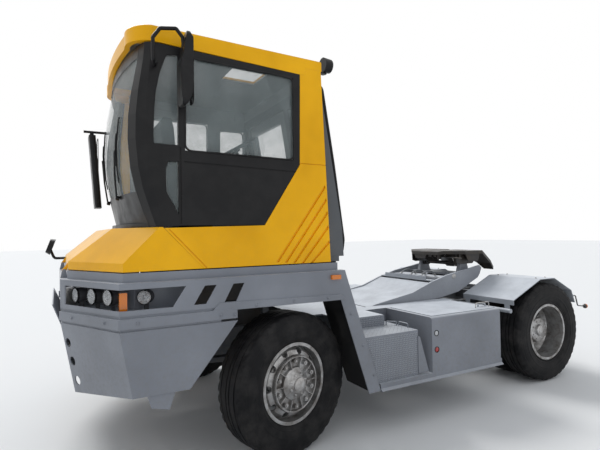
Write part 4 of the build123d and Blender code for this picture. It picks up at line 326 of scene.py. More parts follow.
def lens_plastic(name, colour):
    """Coloured lens with fine flutes."""
    material, tree, shader = new_material(name)
    flutes = node(tree, "ShaderNodeTexWave", {"Scale": 60, "Vector": object_place(tree)},
                  wave_type="BANDS", bands_direction="DIAGONAL")
    deep = tuple(c * 0.55 for c in colour)
    fill(tree, shader, {"Base Color": blend_colour(tree, flutes.outputs["Fac"], deep, colour),
                        "Roughness": 0.12, "Coat Weight": 0.6})
    return material


window_glass = clear_pane("window_glass", (0.30, 0.36, 0.36), 0.20)
lamp_dish = metal_finish("lamp_dish", (0.34, 0.34, 0.35), 0.18, 1.0, (0.06, 0.06, 0.06), 0.7, 30)
lamp_cover = clear_pane("lamp_cover", (0.75, 0.78, 0.80), 0.16)
mirror_glass = metal_finish("mirror_glass", (0.86, 0.88, 0.89), 0.02, 1.0, (0.6, 0.6, 0.6), 0.10, 5, 0.0)
orange_lens = lens_plastic("orange_lens", (0.90, 0.24, 0.012))
rim_black = (0.01, 0.01, 0.011)
tree = orange_lens.node_tree
x, y, z = split(tree, object_place(tree))
repaint(orange_lens, within(tree, x, -2.788, -2.4), inside=rim_black)
red_lens = lens_plastic("red_lens", (0.50, 0.012, 0.012))
rear_lens = lens_plastic("rear_lens", (0.50, 0.012, 0.012))
tree = rear_lens.node_tree
x, y, z = split(tree, object_place(tree))
far = maths(tree, "ABSOLUTE", y)
repaint(rear_lens, within(tree, far, 0.43, 0.47), inside=(0.9, 0.26, 0.015))
repaint(rear_lens, within(tree, far, 0.31, 0.345), inside=(0.62, 0.63, 0.63))
lens_face = times(tree, within(tree, far, 0.302, 0.478), within(tree, z, 0.773, 0.827))
repaint(rear_lens, lens_face, outside=rim_black)
lamp_glass = lens_plastic("lamp_glass", (0.62, 0.64, 0.65))

# %% [markdown]
# Each CAD solid keeps its mesh and only changes its coat. The table below is the paint shop's list: which solid
# gets which finish.

# %% Coat the CAD solids
coats = {
    yellow_paint: ["hood"],
    cab_paint: ["cab_side_left", "cab_side_right", "cab_roof", "cab_door"],
    wall_paint: ["cab_rear_wall", "cab_floor"],
    wing_paint: ["front_bumper", "wing_frame", "side_box", "side_tanks"],
    # These parts get the lighter copy of the blue-grey, painted sky light on faces that look up.
    sky_lit_top_paint: ["box_lid", "deck_plates", "rear_fenders", "hose_bracket"],
    arm_paint: ["lift_arm"],
    frame_paint: ["chassis_frame", "cross_members", "rear_crosshead", "front_axle", "rear_axle",
                  "knuckle_left", "knuckle_right", "tie_rod", "lift_barrels"],
    wheel_silver: ["front_left_rim", "front_right_rim", "rear_left_rims", "rear_right_rims"],
    greasy_iron: ["fifth_wheel"],
    dusty_iron: ["drive_train"],
    rod_chrome: ["lift_rods"],
    frame_black: ["cab_frame", "mirrors", "air_cleaner", "handrail"],
    window_glass: ["cab_glass", "door_glass"],
    console_plastic: ["headlamps", "steering_console", "steering_wheel"],
    orange_lens: ["marker_lamps"],
    rear_lens: ["rear_lamps"],
    trim_rubber: ["arch_linings"],
    tyre_rubber: ["front_left_tyre", "front_right_tyre", "rear_left_tyres", "rear_right_tyres"],
    seat_cloth: ["seat"],
}
for coat, names in coats.items():
    for name in names:
        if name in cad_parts:
            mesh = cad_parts[name].data
            mesh.materials.clear()
            mesh.materials.append(coat)
coated = {name for names in coats.values() for name in names}
print("uncoated:", sorted(set(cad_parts) - coated))

# %% [markdown]
# The loose parts below are all drawn with a few small tools. A lathe turns an outline round an axis, which
# suits bolts, lamps and caps. A tube follows a line, which suits hoses, handles and seals. A plate pushes a
# flat outline through its thickness, a block is a box with softened edges, and a corner rounder bends a line.

# %% Drawing tools
def circle(first, second, count, start=0.0):
    """Unit vectors round a circle, from the first direction towards the second."""
    turns = [2 * pi * (i + start) / count for i in range(count)]
    return [first * cos(a) + second * sin(a) for a in turns]


def skin(work, rings, closed):
    """Faces between neighbouring rings of points; a ring of one point is a pole."""
    steps = max(len(ring) for ring in rings)
    for low, high in list(zip(rings, rings[1:])) + ([(rings[-1], rings[0])] if closed else []):
        for i in range(steps):
            j = (i + 1) % steps
            corners = [low[i % len(low)], low[j % len(low)], high[j % len(high)], high[i % len(high)]]
            corners = list(dict.fromkeys(corners))
            if len(corners) > 2:
                work.faces.new(corners)


def lathe(work, outline, centre, axis, steps=24, closed=False):
    """Turns (radius, height) points round an axis. A radius of 0 makes a pole; closed joins the ends."""
    axis = axis.normalized()
    across = axis.orthogonal().normalized()
    third = axis.cross(across)
    rings = []
    for radius, height in outline:
        place = centre + axis * height
        if radius == 0:
            rings.append([work.verts.new(place)])
            continue
        rings.append([work.verts.new(place + way * radius) for way in circle(across, third, steps)])
    skin(work, rings, closed)


def tube(work, line, radius, steps=10, closed=False):
    """A round bar along a line of points."""
    line = [Vector(p) for p in line]
    count = len(line)
    across = (line[1] - line[0]).orthogonal().normalized()
    rings = []
    for i, place in enumerate(line):
        if closed:
            way = line[(i + 1) % count] - line[i - 1]
        else:
            way = line[min(i + 1, count - 1)] - line[max(i - 1, 0)]
        way.normalize()
        across = (across - way * across.dot(way)).normalized()
        third = way.cross(across)
        rings.append([work.verts.new(place + side * radius) for side in circle(across, third, steps)])
    skin(work, rings, closed)
    if not closed:
        work.faces.new(rings[0])
        work.faces.new(rings[-1])


def rounded(points, radius, steps=5, closed=False):
    """Bends the corners of a line into short curves."""
    points = [Vector(p) for p in points]
    if closed:
        trios = [(points[i - 1], points[i], points[(i + 1) % len(points)]) for i in range(len(points))]
    else:
        trios = list(zip(points, points[1:], points[2:]))
    line = [] if closed else [points[0]]
    for before, corner, after in trios:
        reach = min(radius, (corner - before).length / 2.01, (after - corner).length / 2.01)
        start = corner + (before - corner).normalized() * reach
        end = corner + (after - corner).normalized() * reach
        for k in range(steps + 1):
            t = k / steps
            line.append(start * (1 - t) ** 2 + corner * (2 * t * (1 - t)) + end * t * t)
    return line if closed else line + [points[-1]]


def plate(work, corners, push):
    """A flat outline pushed through a thickness."""
    low = [work.verts.new(Vector(p)) for p in corners]
    high = [work.verts.new(Vector(p) + push) for p in corners]
    work.faces.new(low)
    work.faces.new(high[::-1])
    for i in range(len(low)):
        j = (i + 1) % len(low)
        work.faces.new((low[i], high[i], high[j], low[j]))


def rib(work, start, end, half, push):
    """A bar between two points, twice half wide, pushed through its thickness."""
    plate(work, [start - half, start + half, end + half, end - half], push)


def block(work, low, high, soft=0.002):
    """A box between two corners, with softened edges."""
    low, high = Vector(low), Vector(high)
    made = bmesh.ops.create_cube(work, size=1, matrix=Matrix.Translation((low + high) / 2)
                                 @ Matrix.Diagonal((*(high - low), 1)))
    edges = list({edge for vert in made["verts"] for edge in vert.link_edges})
    bmesh.ops.bevel(work, geom=edges, offset=soft, segments=2, profile=0.5, affect="EDGES")


def finished(work, name, smooth=35):
    """Closes a drawing: faces outwards, soft shading up to an angle, and a mesh out of it."""
    bmesh.ops.remove_doubles(work, verts=work.verts, dist=0.00001)
    bmesh.ops.recalc_face_normals(work, faces=work.faces)
    mesh = bpy.data.meshes.new(name)
    work.to_mesh(mesh)
    work.free()
    for face in mesh.polygons:
        face.use_smooth = True
    mesh.set_sharp_from_angle(angle=radians(smooth))
    return mesh


def add_object(name, mesh, body, slot, *materials):
    """Puts a finished mesh on a body, at the origin."""
    mesh.materials.clear()
    for material in materials:
        mesh.materials.append(material)
    made = bpy.data.objects.new(name, mesh)
    scene.collection.objects.link(made)
    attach(made, body)
    return made


print("drawing tools ready")

# %% [markdown]
# Everything that repeats is set out with Geometry Nodes: bolts, nuts, tread studs and ribs. A cloud of bare
# points says where the copies go, which way each one faces and how far it is turned. The tree puts one small
# mesh on each point, adds a little random turn from a fixed seed, and bakes the copies into plain mesh.

# %% A node tree that sets out copies
set_out_tree = bpy.data.node_groups.new("set_out", "GeometryNodeTree")
for label, kind in (("Points", "NodeSocketGeometry"), ("Piece", "NodeSocketObject"), ("Wobble", "NodeSocketFloat"),
                    ("Seed", "NodeSocketInt"), ("Coat", "NodeSocketMaterial")):
    set_out_tree.interface.new_socket(label, in_out="INPUT", socket_type=kind)
set_out_tree.interface.new_socket("Geometry", in_out="OUTPUT", socket_type="NodeSocketGeometry")
given = node(set_out_tree, "NodeGroupInput").outputs
facing = node(set_out_tree, "GeometryNodeInputNamedAttribute", {"Name": "facing"}, data_type="FLOAT_VECTOR")
turn = node(set_out_tree, "GeometryNodeInputNamedAttribute", {"Name": "turn"}, data_type="FLOAT")
chance = node(set_out_tree, "FunctionNodeRandomValue", {2: -1.0, 3: 1.0, "Seed": given["Seed"]}, data_type="FLOAT")
angle = maths(set_out_tree, "MULTIPLY_ADD", chance.outputs[1], given["Wobble"], turn.outputs[0])
spin = node(set_out_tree, "FunctionNodeAxisAngleToRotation", {"Axis": (0, 0, 1), "Angle": angle})
align = node(set_out_tree, "FunctionNodeAlignRotationToVector", {"Vector": facing.outputs[0]}, axis="Z")
both_turns = node(set_out_tree, "FunctionNodeRotateRotation",
                  {"Rotation": align.outputs[0], "Rotate By": spin.outputs[0]}, rotation_space="LOCAL")
pattern_shape = node(set_out_tree, "GeometryNodeObjectInfo", {0: given["Piece"]}).outputs["Geometry"]
copies = node(set_out_tree, "GeometryNodeInstanceOnPoints",
              {"Points": given["Points"], "Instance": pattern_shape, "Rotation": both_turns.outputs[0]})
realise = node(set_out_tree, "GeometryNodeRealizeInstances", {0: copies.outputs[0]})
dressed = node(set_out_tree, "GeometryNodeSetMaterial", {"Geometry": realise.outputs[0], "Material": given["Coat"]})
node(set_out_tree, "NodeGroupOutput", {0: dressed.outputs[0]})
socket_names = {item.name: item.identifier for item in set_out_tree.interface.items_tree if item.in_out == "INPUT"}


def set_out(name, piece, places, body, slot, coat, wobble_by=0.0, seed=1):
    """Puts a copy of a mesh at each (point, way it faces, turn) and returns one plain object."""
    cloud = bpy.data.meshes.new(name + "_points")
    cloud.from_pydata([Vector(p) for p, way, spun in places], [], [])
    cloud.attributes.new("facing", "FLOAT_VECTOR", "POINT")
    cloud.attributes.new("turn", "FLOAT", "POINT")
    cloud.attributes["facing"].data.foreach_set("vector", [c for p, way, spun in places for c in Vector(way)])
    cloud.attributes["turn"].data.foreach_set("value", [float(spun) for p, way, spun in places])
    holder = bpy.data.objects.new(name + "_holder", cloud)
    pattern = bpy.data.objects.new(name + "_pattern", piece)
    scene.collection.objects.link(holder)
    scene.collection.objects.link(pattern)
    modifier = holder.modifiers.new("set_out", "NODES")
    modifier.node_group = set_out_tree
    modifier[socket_names["Piece"]] = pattern
    modifier[socket_names["Wobble"]] = wobble_by
    modifier[socket_names["Seed"]] = seed
    modifier[socket_names["Coat"]] = coat
    view = bpy.context.evaluated_depsgraph_get()
    mesh = bpy.data.meshes.new_from_object(holder.evaluated_get(view))
    holder.modifiers.remove(modifier)
    bpy.data.objects.remove(holder)
    bpy.data.objects.remove(pattern)
    print(name, len(cloud.vertices), "places,", len(mesh.polygons), "faces")
    return add_object(name, mesh, body, slot, coat)


print("inputs:", list(socket_names))

# %% [markdown]
# A bolt is a washer, a six-sided head with its corners turned off, and the thread's end. A round-headed screw
# and a tread stud are even smaller. Drawn once, each of them is copied by the tree above.

# %% Bolt, screw and stud
def bolt_mesh(size, proud=0.8):
    """Hexagon bolt on its washer: size is half the width over corners."""
    work = bmesh.new()
    lathe(work, [(0, -0.002), (1.35 * size, -0.002), (1.35 * size, 0.15 * size), (0, 0.15 * size)], Vector(), up, 18)
    top = (0.15 + proud) * size
    lathe(work, [(0, 0), (size, 0), (size, top - 0.12 * size), (0.86 * size, top), (0, top)], Vector(), up, 6)
    lathe(work, [(0, 0), (0.42 * size, 0), (0.42 * size, top + 0.22 * size), (0.3 * size, top + 0.3 * size),
                 (0, top + 0.3 * size)], Vector(), up, 12)
    return finished(work, "bolt", 30)


def screw_mesh(size):
    """Low round head."""
    work = bmesh.new()
    lathe(work, [(0, -0.001), (size, -0.001), (0.95 * size, 0.3 * size), (0.6 * size, 0.55 * size),
                 (0, 0.62 * size)], Vector(), up, 14)
    return finished(work, "screw", 50)


def stud_mesh(length, width, height):
    """Raised lozenge of tread plate."""
    work = bmesh.new()
    sunk = -0.0004
    low = [work.verts.new(v) for v in ((-length, 0, sunk), (0, -width, sunk), (length, 0, sunk), (0, width, sunk))]
    high = [work.verts.new(v) for v in ((-0.5 * length, 0, height), (0.5 * length, 0, height))]
    for face in ((low[0], low[1], high[1], high[0]), (low[1], low[2], high[1]), (low[2], low[3], high[0], high[1]),
                 (low[3], low[0], high[0]), (low[3], low[2], low[1], low[0])):
        work.faces.new(face)
    return finished(work, "stud", 20)


def grid(origin, across, along, pitch, faces, turns=(0.6, -0.6)):
    """Places in rows over a rectangle: a corner, its two sides, the spacing, and the way the copies face."""
    origin, across, along = Vector(origin), Vector(across), Vector(along)
    columns, rows = int(across.length / pitch), int(along.length / pitch)
    step_a, step_b = across / columns, along / rows
    return [(origin + step_a * (i + 0.5) + step_b * (j + 0.5), faces, turns[(i + j) % 2])
            for i in range(columns) for j in range(rows)]


both_sides = (1, -1)
big_bolt, small_bolt, small_screw = bolt_mesh(0.013), bolt_mesh(0.009), screw_mesh(0.006)
tread_stud = stud_mesh(0.0088, 0.0034, 0.0019)
print("small parts:", len(big_bolt.polygons), len(small_screw.polygons), len(tread_stud.polygons), "faces")

# %% [markdown]
# A road tyre is a body of revolution with four grooves round its tread and short slots across its shoulders.
# Spinning one half-section would leave the slots out, so the rings of points are written in a loop: the shoulder
# rings step inwards at every third spoke, and those steps are the slots. The sidewall has a few raised rings.

# %% Tyres with their tread
def tyre_section(half):
    """One side of a tyre's outline from the bead to the middle of the tread: radius, place, slotted or not."""
    flank = [(0.32, 0.021), (0.33, 0.016), (0.333, 0.013), (0.34, 0.013), (0.343, 0.01), (0.38, 0.003),
             (0.384, 0.0005), (0.39, 0.0005), (0.394, 0.002), (0.42, 0.0005), (0.45, 0.002), (0.465, 0.005),
             (0.468, 0.003), (0.484, 0.006), (0.495, 0.01), (0.512, 0.018), (0.519, 0.028), (0.5215, 0.05)]
    side = [(0.287, 0.106, 0), (0.301, 0.108, 0), (0.308, 0.12, 0)]
    side += [(radius, half - inset, 0.49 < radius < 0.52) for radius, inset in flank]
    grooves = [half * 0.52, half * 0.12]
    for middle in grooves:
        side += [(0.5238, middle + 0.0065, 0), (0.513, middle + 0.0045, 0), (0.513, middle - 0.0045, 0),
                 (0.5244, middle - 0.0065, 0)]
    return side


tyre_spokes, slot_depth = 120, 0.007


def tyre_mesh(name, centre, out, halves, places):
    """Tyres on one axle line: centre and direction, with each tyre's half width and place along the line."""
    work = bmesh.new()
    for half, place in zip(halves, places):
        one = tyre_section(half)
        outline = one + [(r, -w, slotted) for r, w, slotted in reversed(one)]
        rings = []
        for spoke, radial in enumerate(circle(up, out.cross(up), tyre_spokes)):
            ring = []
            for r, w, slotted in outline:
                depth = slot_depth if slotted and spoke % 3 == 0 else 0.0
                ring.append(work.verts.new(centre + radial * (r - depth) + out * (place + w)))
            rings.append(ring)
        skin(work, rings, closed=True)
    bmesh.ops.recalc_face_normals(work, faces=work.faces)
    mesh = bpy.data.meshes.new(name)
    work.to_mesh(mesh)
    work.free()
    for face in mesh.polygons:
        face.use_smooth = False
    return mesh


steer = radians(14.5)
kingpin_y, wheel_offset, front_x, rear_x, axle_z = 0.9, 0.185, 1.195, -2.03, 0.525
wheels = {}
for side, way in (("left", 1), ("right", -1)):
    out = Vector((-way * sin(steer), way * cos(steer), 0))
    centre = Vector((front_x, way * kingpin_y, axle_z)) + out * wheel_offset
    wheels["front_" + side] = (centre, out)
    tyre = add_object(f"front_{side}_tread_tyre", tyre_mesh("tyre", centre, out, [0.150], [0]),
                      f"front_{side}_wheel", "tyre", tyre_rubber)
    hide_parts(f"front_{side}_tyre")
    out = Vector((0, way, 0))
    centre = Vector((rear_x, way * 1.005, axle_z))
    wheels["rear_" + side] = (centre, out)
    tyre = add_object(f"rear_{side}_tread_tyres", tyre_mesh("tyres", centre, out, [0.1375, 0.1375], [0, -0.330]),
                      f"rear_{side}_wheels", "tyre", tyre_rubber)
    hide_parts(f"rear_{side}_tyres")
print("tyres:", sorted(wheels))

# %% [markdown]
# The body panels are bolted, and the heads show on the belt strip, the arch strips and the wheel-arch legs. The
# chassis rails carry rows of larger bolts where the cross members meet them, and the towing plate has its own.

# %% Bolts on the body and the frame
chamfer_way = Vector((0.8872, 0.4614, 0))
belt_screws, frame_bolts = [], []
for side in both_sides:
    out = (0, side, 0)
    for x, y, z in ((2.24, 1.26, 1.101), (1.707, 1.26, 1.1), (1.61, 1.26, 1.096), (1.447, 1.258, 1.146),
                    (1.15, 1.258, 1.146), (0.859, 1.258, 1.145), (0.645, 1.25, 1.001), (0.433, 1.25, 0.487),
                    (0.535, 1.25, 0.74)):
        belt_screws.append(((x, side * y, z), out, 0.0))
    for x, y in ((2.4196, 1.13), (2.5913, 0.8)):
        belt_screws.append(((x, side * y, 1.101), (chamfer_way.x, side * chamfer_way.y, 0), 0.0))
    for x in (-2.35, -1.5, -0.62, 0.25, 2.05):
        for dx in (-0.025, 0.025):
            for z in (0.735, 0.795):
                frame_bolts.append(((x + dx, side * 0.43, z), out, 0.3))
    for y in (0.25, 0.34, 0.44):
        for z in (0.63, 0.81):
            frame_bolts.append(((-2.58, side * y, z), (-1, 0, 0), 0.3))
set_out("belt_bolts", small_bolt, belt_screws, "chassis", "blue_grey_paint", wing_paint, 0.5, 4)
set_out("frame_bolts", big_bolt, frame_bolts, "chassis", "chassis_paint", frame_paint, 0.5, 5)
print("bolts:", len(belt_screws), "on the belt,", len(frame_bolts), "on the frame")

# %% [markdown]
# The steps are folded from tread plate, so that a boot grips in the wet. The pattern covers the outer face, the
# riser and the treads, and stands one or two millimetres proud. Boots polish the treads, so those get a brighter
# coat.

# %% Tread plate on the steps
stud_pitch = 0.0168
stud_places = []
step_rows = 22
for row in range(step_rows):
    z = 0.412 + row * stud_pitch
    front = 0.5 - (0.79 - z) * 0.329
    columns = int((front + 0.055) / stud_pitch)
    for column in range(columns):
        stud_places.append(((-0.055 + column * stud_pitch, 1.218, z), left, 0.7 if (row + column) % 2 else -0.7))
stud_places += grid((0.055, 0.9075, 0.796), (0.44, 0, 0), (0, 0, 0.085), stud_pitch, left, (0.7, -0.7))
# The studs on the outer face and riser are painted paler than their plate, as a painted highlight.
set_out("step_tread", tread_stud, stud_places, "chassis", "blue_grey_paint", stud_highlight_paint)
top_studs = grid((-0.058, 0.915, 0.79), (0.55, 0, 0), (0, 0.296, 0), 0.022, up)
top_studs += grid((-0.058, 0.632, 0.79), (0.1, 0, 0), (0, 0.28, 0), 0.022, up)
set_out("step_top_tread", stud_mesh(0.010, 0.0032, 0.0014), top_studs, "chassis", "blue_grey_paint", worn_steel)
deck_studs = grid((0.06, 0.58, 0.885), (0.62, 0, 0), (0, -1.16, 0), 0.036, up)
deck_studs += grid((-1.14, -1.2, 0.885), (1.08, 0, 0), (0, 0.7, 0), 0.036, up)
set_out("deck_tread", stud_mesh(0.012, 0.0036, 0.0012), deck_studs, "chassis", "blue_grey_paint", sky_lit_top_paint)
print("studs:", len(stud_places) + len(top_studs) + len(deck_studs))

# %% [markdown]
# On the step there are two small grab bars, and the box beside it has two round lamps let into its wall, white
# over red. A lamp is a black rubber ring, a fluted lens and a shallow dome.

# %% Grab bars and the box's round lamps
work = bmesh.new()
for a, b in (((-0.058, 0.985, 0.788), (-0.058, 1.105, 0.788)), ((0.03, 0.915, 0.788), (-0.036, 0.978, 0.788))):
    lift = Vector((0, 0, 0.036))
    tube(work, rounded([a, Vector(a) + lift, Vector(b) + lift, b], 0.014), 0.0055)
add_object("step_bars", finished(work, "step_bars"), "chassis", "blue_grey_paint", wing_paint)

box_lamps = [(-0.256, 0.745), (-0.258, 0.601)]
rings, domes = bmesh.new(), {0: bmesh.new(), 1: bmesh.new()}
for i, (x, z) in enumerate(box_lamps):
    centre = Vector((x, 1.2472, z))
    lathe(rings, [(0.0205, 0), (0.0255, 0), (0.027, 0.003), (0.0265, 0.0055), (0.0235, 0.0065), (0.0205, 0.0045)],
          centre, left, 32, closed=True)
    lathe(domes[i], [(0, 0), (0.0204, 0), (0.0204, 0.003), (0.016, 0.0052), (0.0085, 0.0065), (0, 0.0069)],
          centre, left, 32)
add_object("box_lamp_rings", finished(rings, "rings"), "chassis", "black_rubber", trim_rubber)
add_object("box_lamp_white", finished(domes[0], "dome"), "chassis", "lamp_glass", lamp_glass)
add_object("box_lamp_red", finished(domes[1], "dome"), "chassis", "red_lens", red_lens)

# %% [markdown]
# Each headlamp gets a black hood, a bright dish with a bulb, and a clear lens. The dish is a lathe outline that
# curves inwards like a bowl; the lens is a shallow closed dome, so light passes two faces of glass as it should.

# %% Headlamp dishes and lenses
lamp_z = 1.247
nose_x, corner_x = 2.658, 2.346
lamp_table = [(nose_x - 0.098, 0.76, 0.046, 20), (nose_x - 0.188, 0.905, 0.05, 25),
              (nose_x - 0.273, 1.04, 0.05, 27), (corner_x - 0.166, 1.15, 0.044, 62)]
dishes, lenses, hoods = bmesh.new(), bmesh.new(), bmesh.new()
for side in both_sides:
    for x, y, radius, swing in lamp_table:
        aim = Vector((cos(radians(swing)), side * sin(radians(swing)), 0))
        face = Vector((x, side * y, lamp_z))
        rim = radius + 0.0035
        lathe(hoods, [(rim - 0.004, 0.0002), (rim + 0.001, 0.0002), (rim + 0.001, 0.012), (rim - 0.001, 0.014),
                      (rim - 0.004, 0.012)], face, aim, 36, closed=True)
        lathe(dishes, [(0, 0.0004), (rim - 0.0045, 0.0004), (rim - 0.0045, 0.009), (rim - 0.007, 0.0075),
                       (0.65 * rim, 0.004), (0.3 * rim, 0.0022), (0.24 * rim, 0.005), (0.1 * rim, 0.0078),
                       (0, 0.008)], face, aim, 36)
        lathe(lenses, [(0, 0.01), (rim - 0.005, 0.0094), (rim - 0.005, 0.0116), (0.7 * rim, 0.015),
                       (0.35 * rim, 0.0168), (0, 0.0174)], face, aim, 36)
add_object("lamp_hoods", finished(hoods, "hoods"), "chassis", "lamp_glass", frame_black)
add_object("lamp_dishes", finished(dishes, "dishes"), "chassis", "lamp_glass", lamp_dish)
add_object("lamp_lenses", finished(lenses, "lenses"), "chassis", "lamp_glass", lamp_cover)
print("headlamps:", 2 * len(lamp_table))

# %% [markdown]
# A guard ring stands round the front wheel's nuts, ribbed outside and divided by ten fins. Every nut shows its
# stud's end, and the hub ends in a polished cap. The ribs and fins point at the middle, so they are drawn in a
# loop; the stud ends are copies on points.

# %% Nuts, ribs and caps on the wheels
stud_work = bmesh.new()
lathe(stud_work, [(0, -0.002), (0.0078, -0.002), (0.0078, 0.006), (0.006, 0.0078), (0, 0.0078)], Vector(), up, 12)
stud_end = finished(stud_work, "stud_end", 40)

def wheel_axes(out):
    """The two directions across an axle line: forward, then up."""
    return up.cross(out).normalized() * -1, up


for end, (centre, out) in wheels.items():
    front = end.startswith("front")
    body = end + ("_wheel" if front else "_wheels")
    ahead, above = wheel_axes(out)
    face = 0.0 if front else -0.165
    nut_circle = 0.1675 if front else 0.1735
    nut_top = 0.132 if front else 0.046
    ends = [(centre + radial * nut_circle + out * (face + nut_top), out, 0.0)
            for radial in circle(above, ahead, 10)]
    set_out(end + "_stud_ends", stud_end, ends, body, "rim_paint", bright_steel)
    work = bmesh.new()
    if front:
        lathe(work, [(0.195, 0.097), (0.206, 0.097), (0.206, 0.133), (0.204, 0.136), (0.197, 0.136),
                     (0.195, 0.134)], centre, out, 100, closed=True)
        for radial in circle(above, ahead, 84, 0.5):
            foot, half = centre + radial * 0.2055, out.cross(radial) * 0.0022
            rib(work, foot + out * 0.1, foot + out * 0.129, half, radial * 0.0045)
        for radial in circle(above, ahead, 10, 0.5):
            foot, half = centre + out * 0.099, out.cross(radial) * 0.0026
            rib(work, foot + radial * 0.1165, foot + radial * 0.1965, half, out * 0.03)
        lathe(work, [(0.119, 0.1225), (0.1185, 0.1195), (0.104, 0.128), (0.1045, 0.1315)], centre, out, 72,
              closed=True)
        cap = [(0, 0.1745), (0.052, 0.1685), (0.0555, 0.17), (0.054, 0.1745), (0.046, 0.18), (0.03, 0.1835),
               (0.012, 0.185), (0, 0.1852)]
        bolt_circle, bolt_face = 0.074, 0.152
    else:
        cap = [(0, 0.0225), (0.053, 0.0225), (0.0535, 0.027), (0.05, 0.03), (0.03, 0.033), (0, 0.034)]
        lathe(work, [(0.064, 0.006), (0.127, 0.0025), (0.1265, 0.0065), (0.12, 0.0085), (0.07, 0.01),
                     (0.064, 0.009)], centre, out, 72, closed=True)
        bolt_circle, bolt_face = 0.098, 0.0088
    add_object(end + "_ribs", finished(work, "ribs"), body, "rim_paint", wheel_silver)
    work = bmesh.new()
    lathe(work, cap, centre, out, 48)
    add_object(end + "_cap", finished(work, "cap"), body, "rim_paint", bright_steel)
    bolts = []
    for radial in circle(ahead, above, 8, 0.5):
        way = (out + radial).normalized() if front else out
        bolts.append((centre + radial * bolt_circle + out * bolt_face, way, 0.0))
    set_out(end + "_hub_bolts", small_bolt, bolts, body, "rim_paint", bright_steel, 0.5, 7)
    valve = bmesh.new()
    deep = 0.0 if front else -0.11
    tip = centre + ahead * 0.236 + out * (0.09 + deep)
    tube(valve, rounded([centre + ahead * 0.274 + out * (0.02 + deep), centre + ahead * 0.243 + out * (0.045 + deep),
                         tip], 0.015), 0.0042, 8)
    lathe(valve, [(0, 0), (0.0055, 0), (0.0055, 0.012), (0.0045, 0.014), (0, 0.014)], tip - out * 0.002, out, 10)
    add_object(end + "_valve", finished(valve, "valve"), body, "black_rubber", trim_rubber)
print("wheels dressed")

# %% [markdown]
# The fifth wheel is the towing plate that a trailer rides on. A long release handle comes out on the left, a
# coil spring pulls the locking jaws shut, and webs stiffen the plate's front edge from below. The spring is a
# tube along a helix: a circle that also moves forwards.

# %% Fifth wheel's handle, spring and webs
work = bmesh.new()
tube(work, rounded([(-1.5, 0.1, 1.325), (-1.446, 0.29, 1.325), (-1.428, 0.43, 1.322), (-1.47, 0.452, 1.318),
                    (-1.478, 0.42, 1.316)], 0.02), 0.0085, 12)
lathe(work, [(0, 0), (0.02, 0), (0.02, 0.01), (0.015, 0.014), (0, 0.014)], Vector((-1.5, 0.1, 1.333)), up, 20)
lathe(work, [(0, 0), (0.013, 0), (0.013, 0.012), (0, 0.012)], Vector((-1.5, 0.1, 1.345)), up, 6)
add_object("release_handle", finished(work, "handle"), "fifth_wheel", "greasy_iron", dusty_iron)
work = bmesh.new()
spring_from, spring_to = Vector((-1.462, 0.215, 1.342)), Vector((-1.492, 0.02, 1.342))
spring_way = (spring_to - spring_from)
side_way = spring_way.cross(up).normalized()
coils, coil_steps = 15, 12
helix = []
for i in range(coils * coil_steps + 1):
    a = 2 * pi * i / coil_steps
    helix.append(spring_from + spring_way * (i / (coils * coil_steps)) + (side_way * cos(a) + up * sin(a)) * 0.0105)
tube(work, helix, 0.0022, 6)
add_object("jaw_spring", finished(work, "spring"), "fifth_wheel", "greasy_iron", bright_steel)
work = bmesh.new()
for y in (-0.165, -0.09, 0.0, 0.09, 0.165):
    plate(work, [(-1.35, y - 0.005, 1.362), (-1.35, y - 0.005, 1.33), (-1.395, y - 0.005, 1.3),
                 (-1.438, y - 0.005, 1.3), (-1.438, y - 0.005, 1.362)], Vector((0, 0.01, 0)))
plate(work, [(-1.352, -0.19, 1.366), (-1.352, -0.19, 1.305), (-1.4, -0.19, 1.268), (-1.58, -0.19, 1.268),
             (-1.58, -0.19, 1.366)], Vector((0, 0.18, 0)))
lathe(work, [(0, 0), (0.0235, 0), (0.0235, 0.48), (0, 0.48)], Vector((-1.62, -0.24, 1.245)), left, 24)
for side in both_sides:
    plate(work, [(-1.462, side * 0.368, 1.366), (-1.47, side * 0.368, 1.262), (-1.52, side * 0.368, 1.246),
                 (-1.735, side * 0.368, 1.246), (-1.79, side * 0.368, 1.3), (-1.8, side * 0.368, 1.366)],
          Vector((0, side * 0.008, 0)))
add_object("plate_webs", finished(work, "webs"), "fifth_wheel", "greasy_iron", greasy_iron)
work = bmesh.new()
for level in range(3):
    block(work, (-1.372, 0.196, 1.3 + level * 0.021), (-1.342, 0.208, 1.316 + level * 0.021), 0.002)
add_object("buffer_pads", finished(work, "pads"), "fifth_wheel", "greasy_iron", dusty_iron)
print("fifth wheel dressed")

# %% [markdown]
# Three hydraulic and air lines run from the bracket on the lift arm into its cross tube. Each is 20 mm thick and
# stiff, so between its two fittings it stands in a flat arch of 159 mm radius, 283 mm long. The photograph shows
# the arches, but not their far ends, so the length past the part that shows is a guess.

# %% Hoses
hose_radius, arch_radius, arch_centre = 0.01, 0.159, Vector((-1.208, 0, 1.006))
arch_from, arch_to, arch_steps = radians(50), radians(-52), 18
hose_work, end_work = bmesh.new(), bmesh.new()
for y, sway in ((-0.18, 0.014), (0.0, 0.006), (0.18, -0.012)):
    route = []
    for k in range(arch_steps + 1):
        t = k / arch_steps
        a = arch_from + (arch_to - arch_from) * t
        route.append(arch_centre + Vector((sin(a), 0, cos(a))) * arch_radius + Vector((0, y + sway * t, 0)))
    tube(hose_work, route, hose_radius, 12)
    for place, towards in ((route[0], route[1]), (route[-1], route[-2])):
        way = (towards - place).normalized()
        lathe(end_work, [(0, -0.006), (0.0165, -0.006), (0.0165, 0.008), (0.015, 0.01), (0, 0.01)], place, way, 6)
        lathe(end_work, [(0, 0.009), (0.0135, 0.009), (0.0135, 0.026), (0.0115, 0.03), (0, 0.03)], place, way, 18)
add_object("hoses", finished(hose_work, "hoses"), "lift_arm", "black_rubber", hose_grey)
add_object("hose_ends", finished(end_work, "hose_ends"), "lift_arm", "bare_iron", bright_steel)
print("hoses hung")

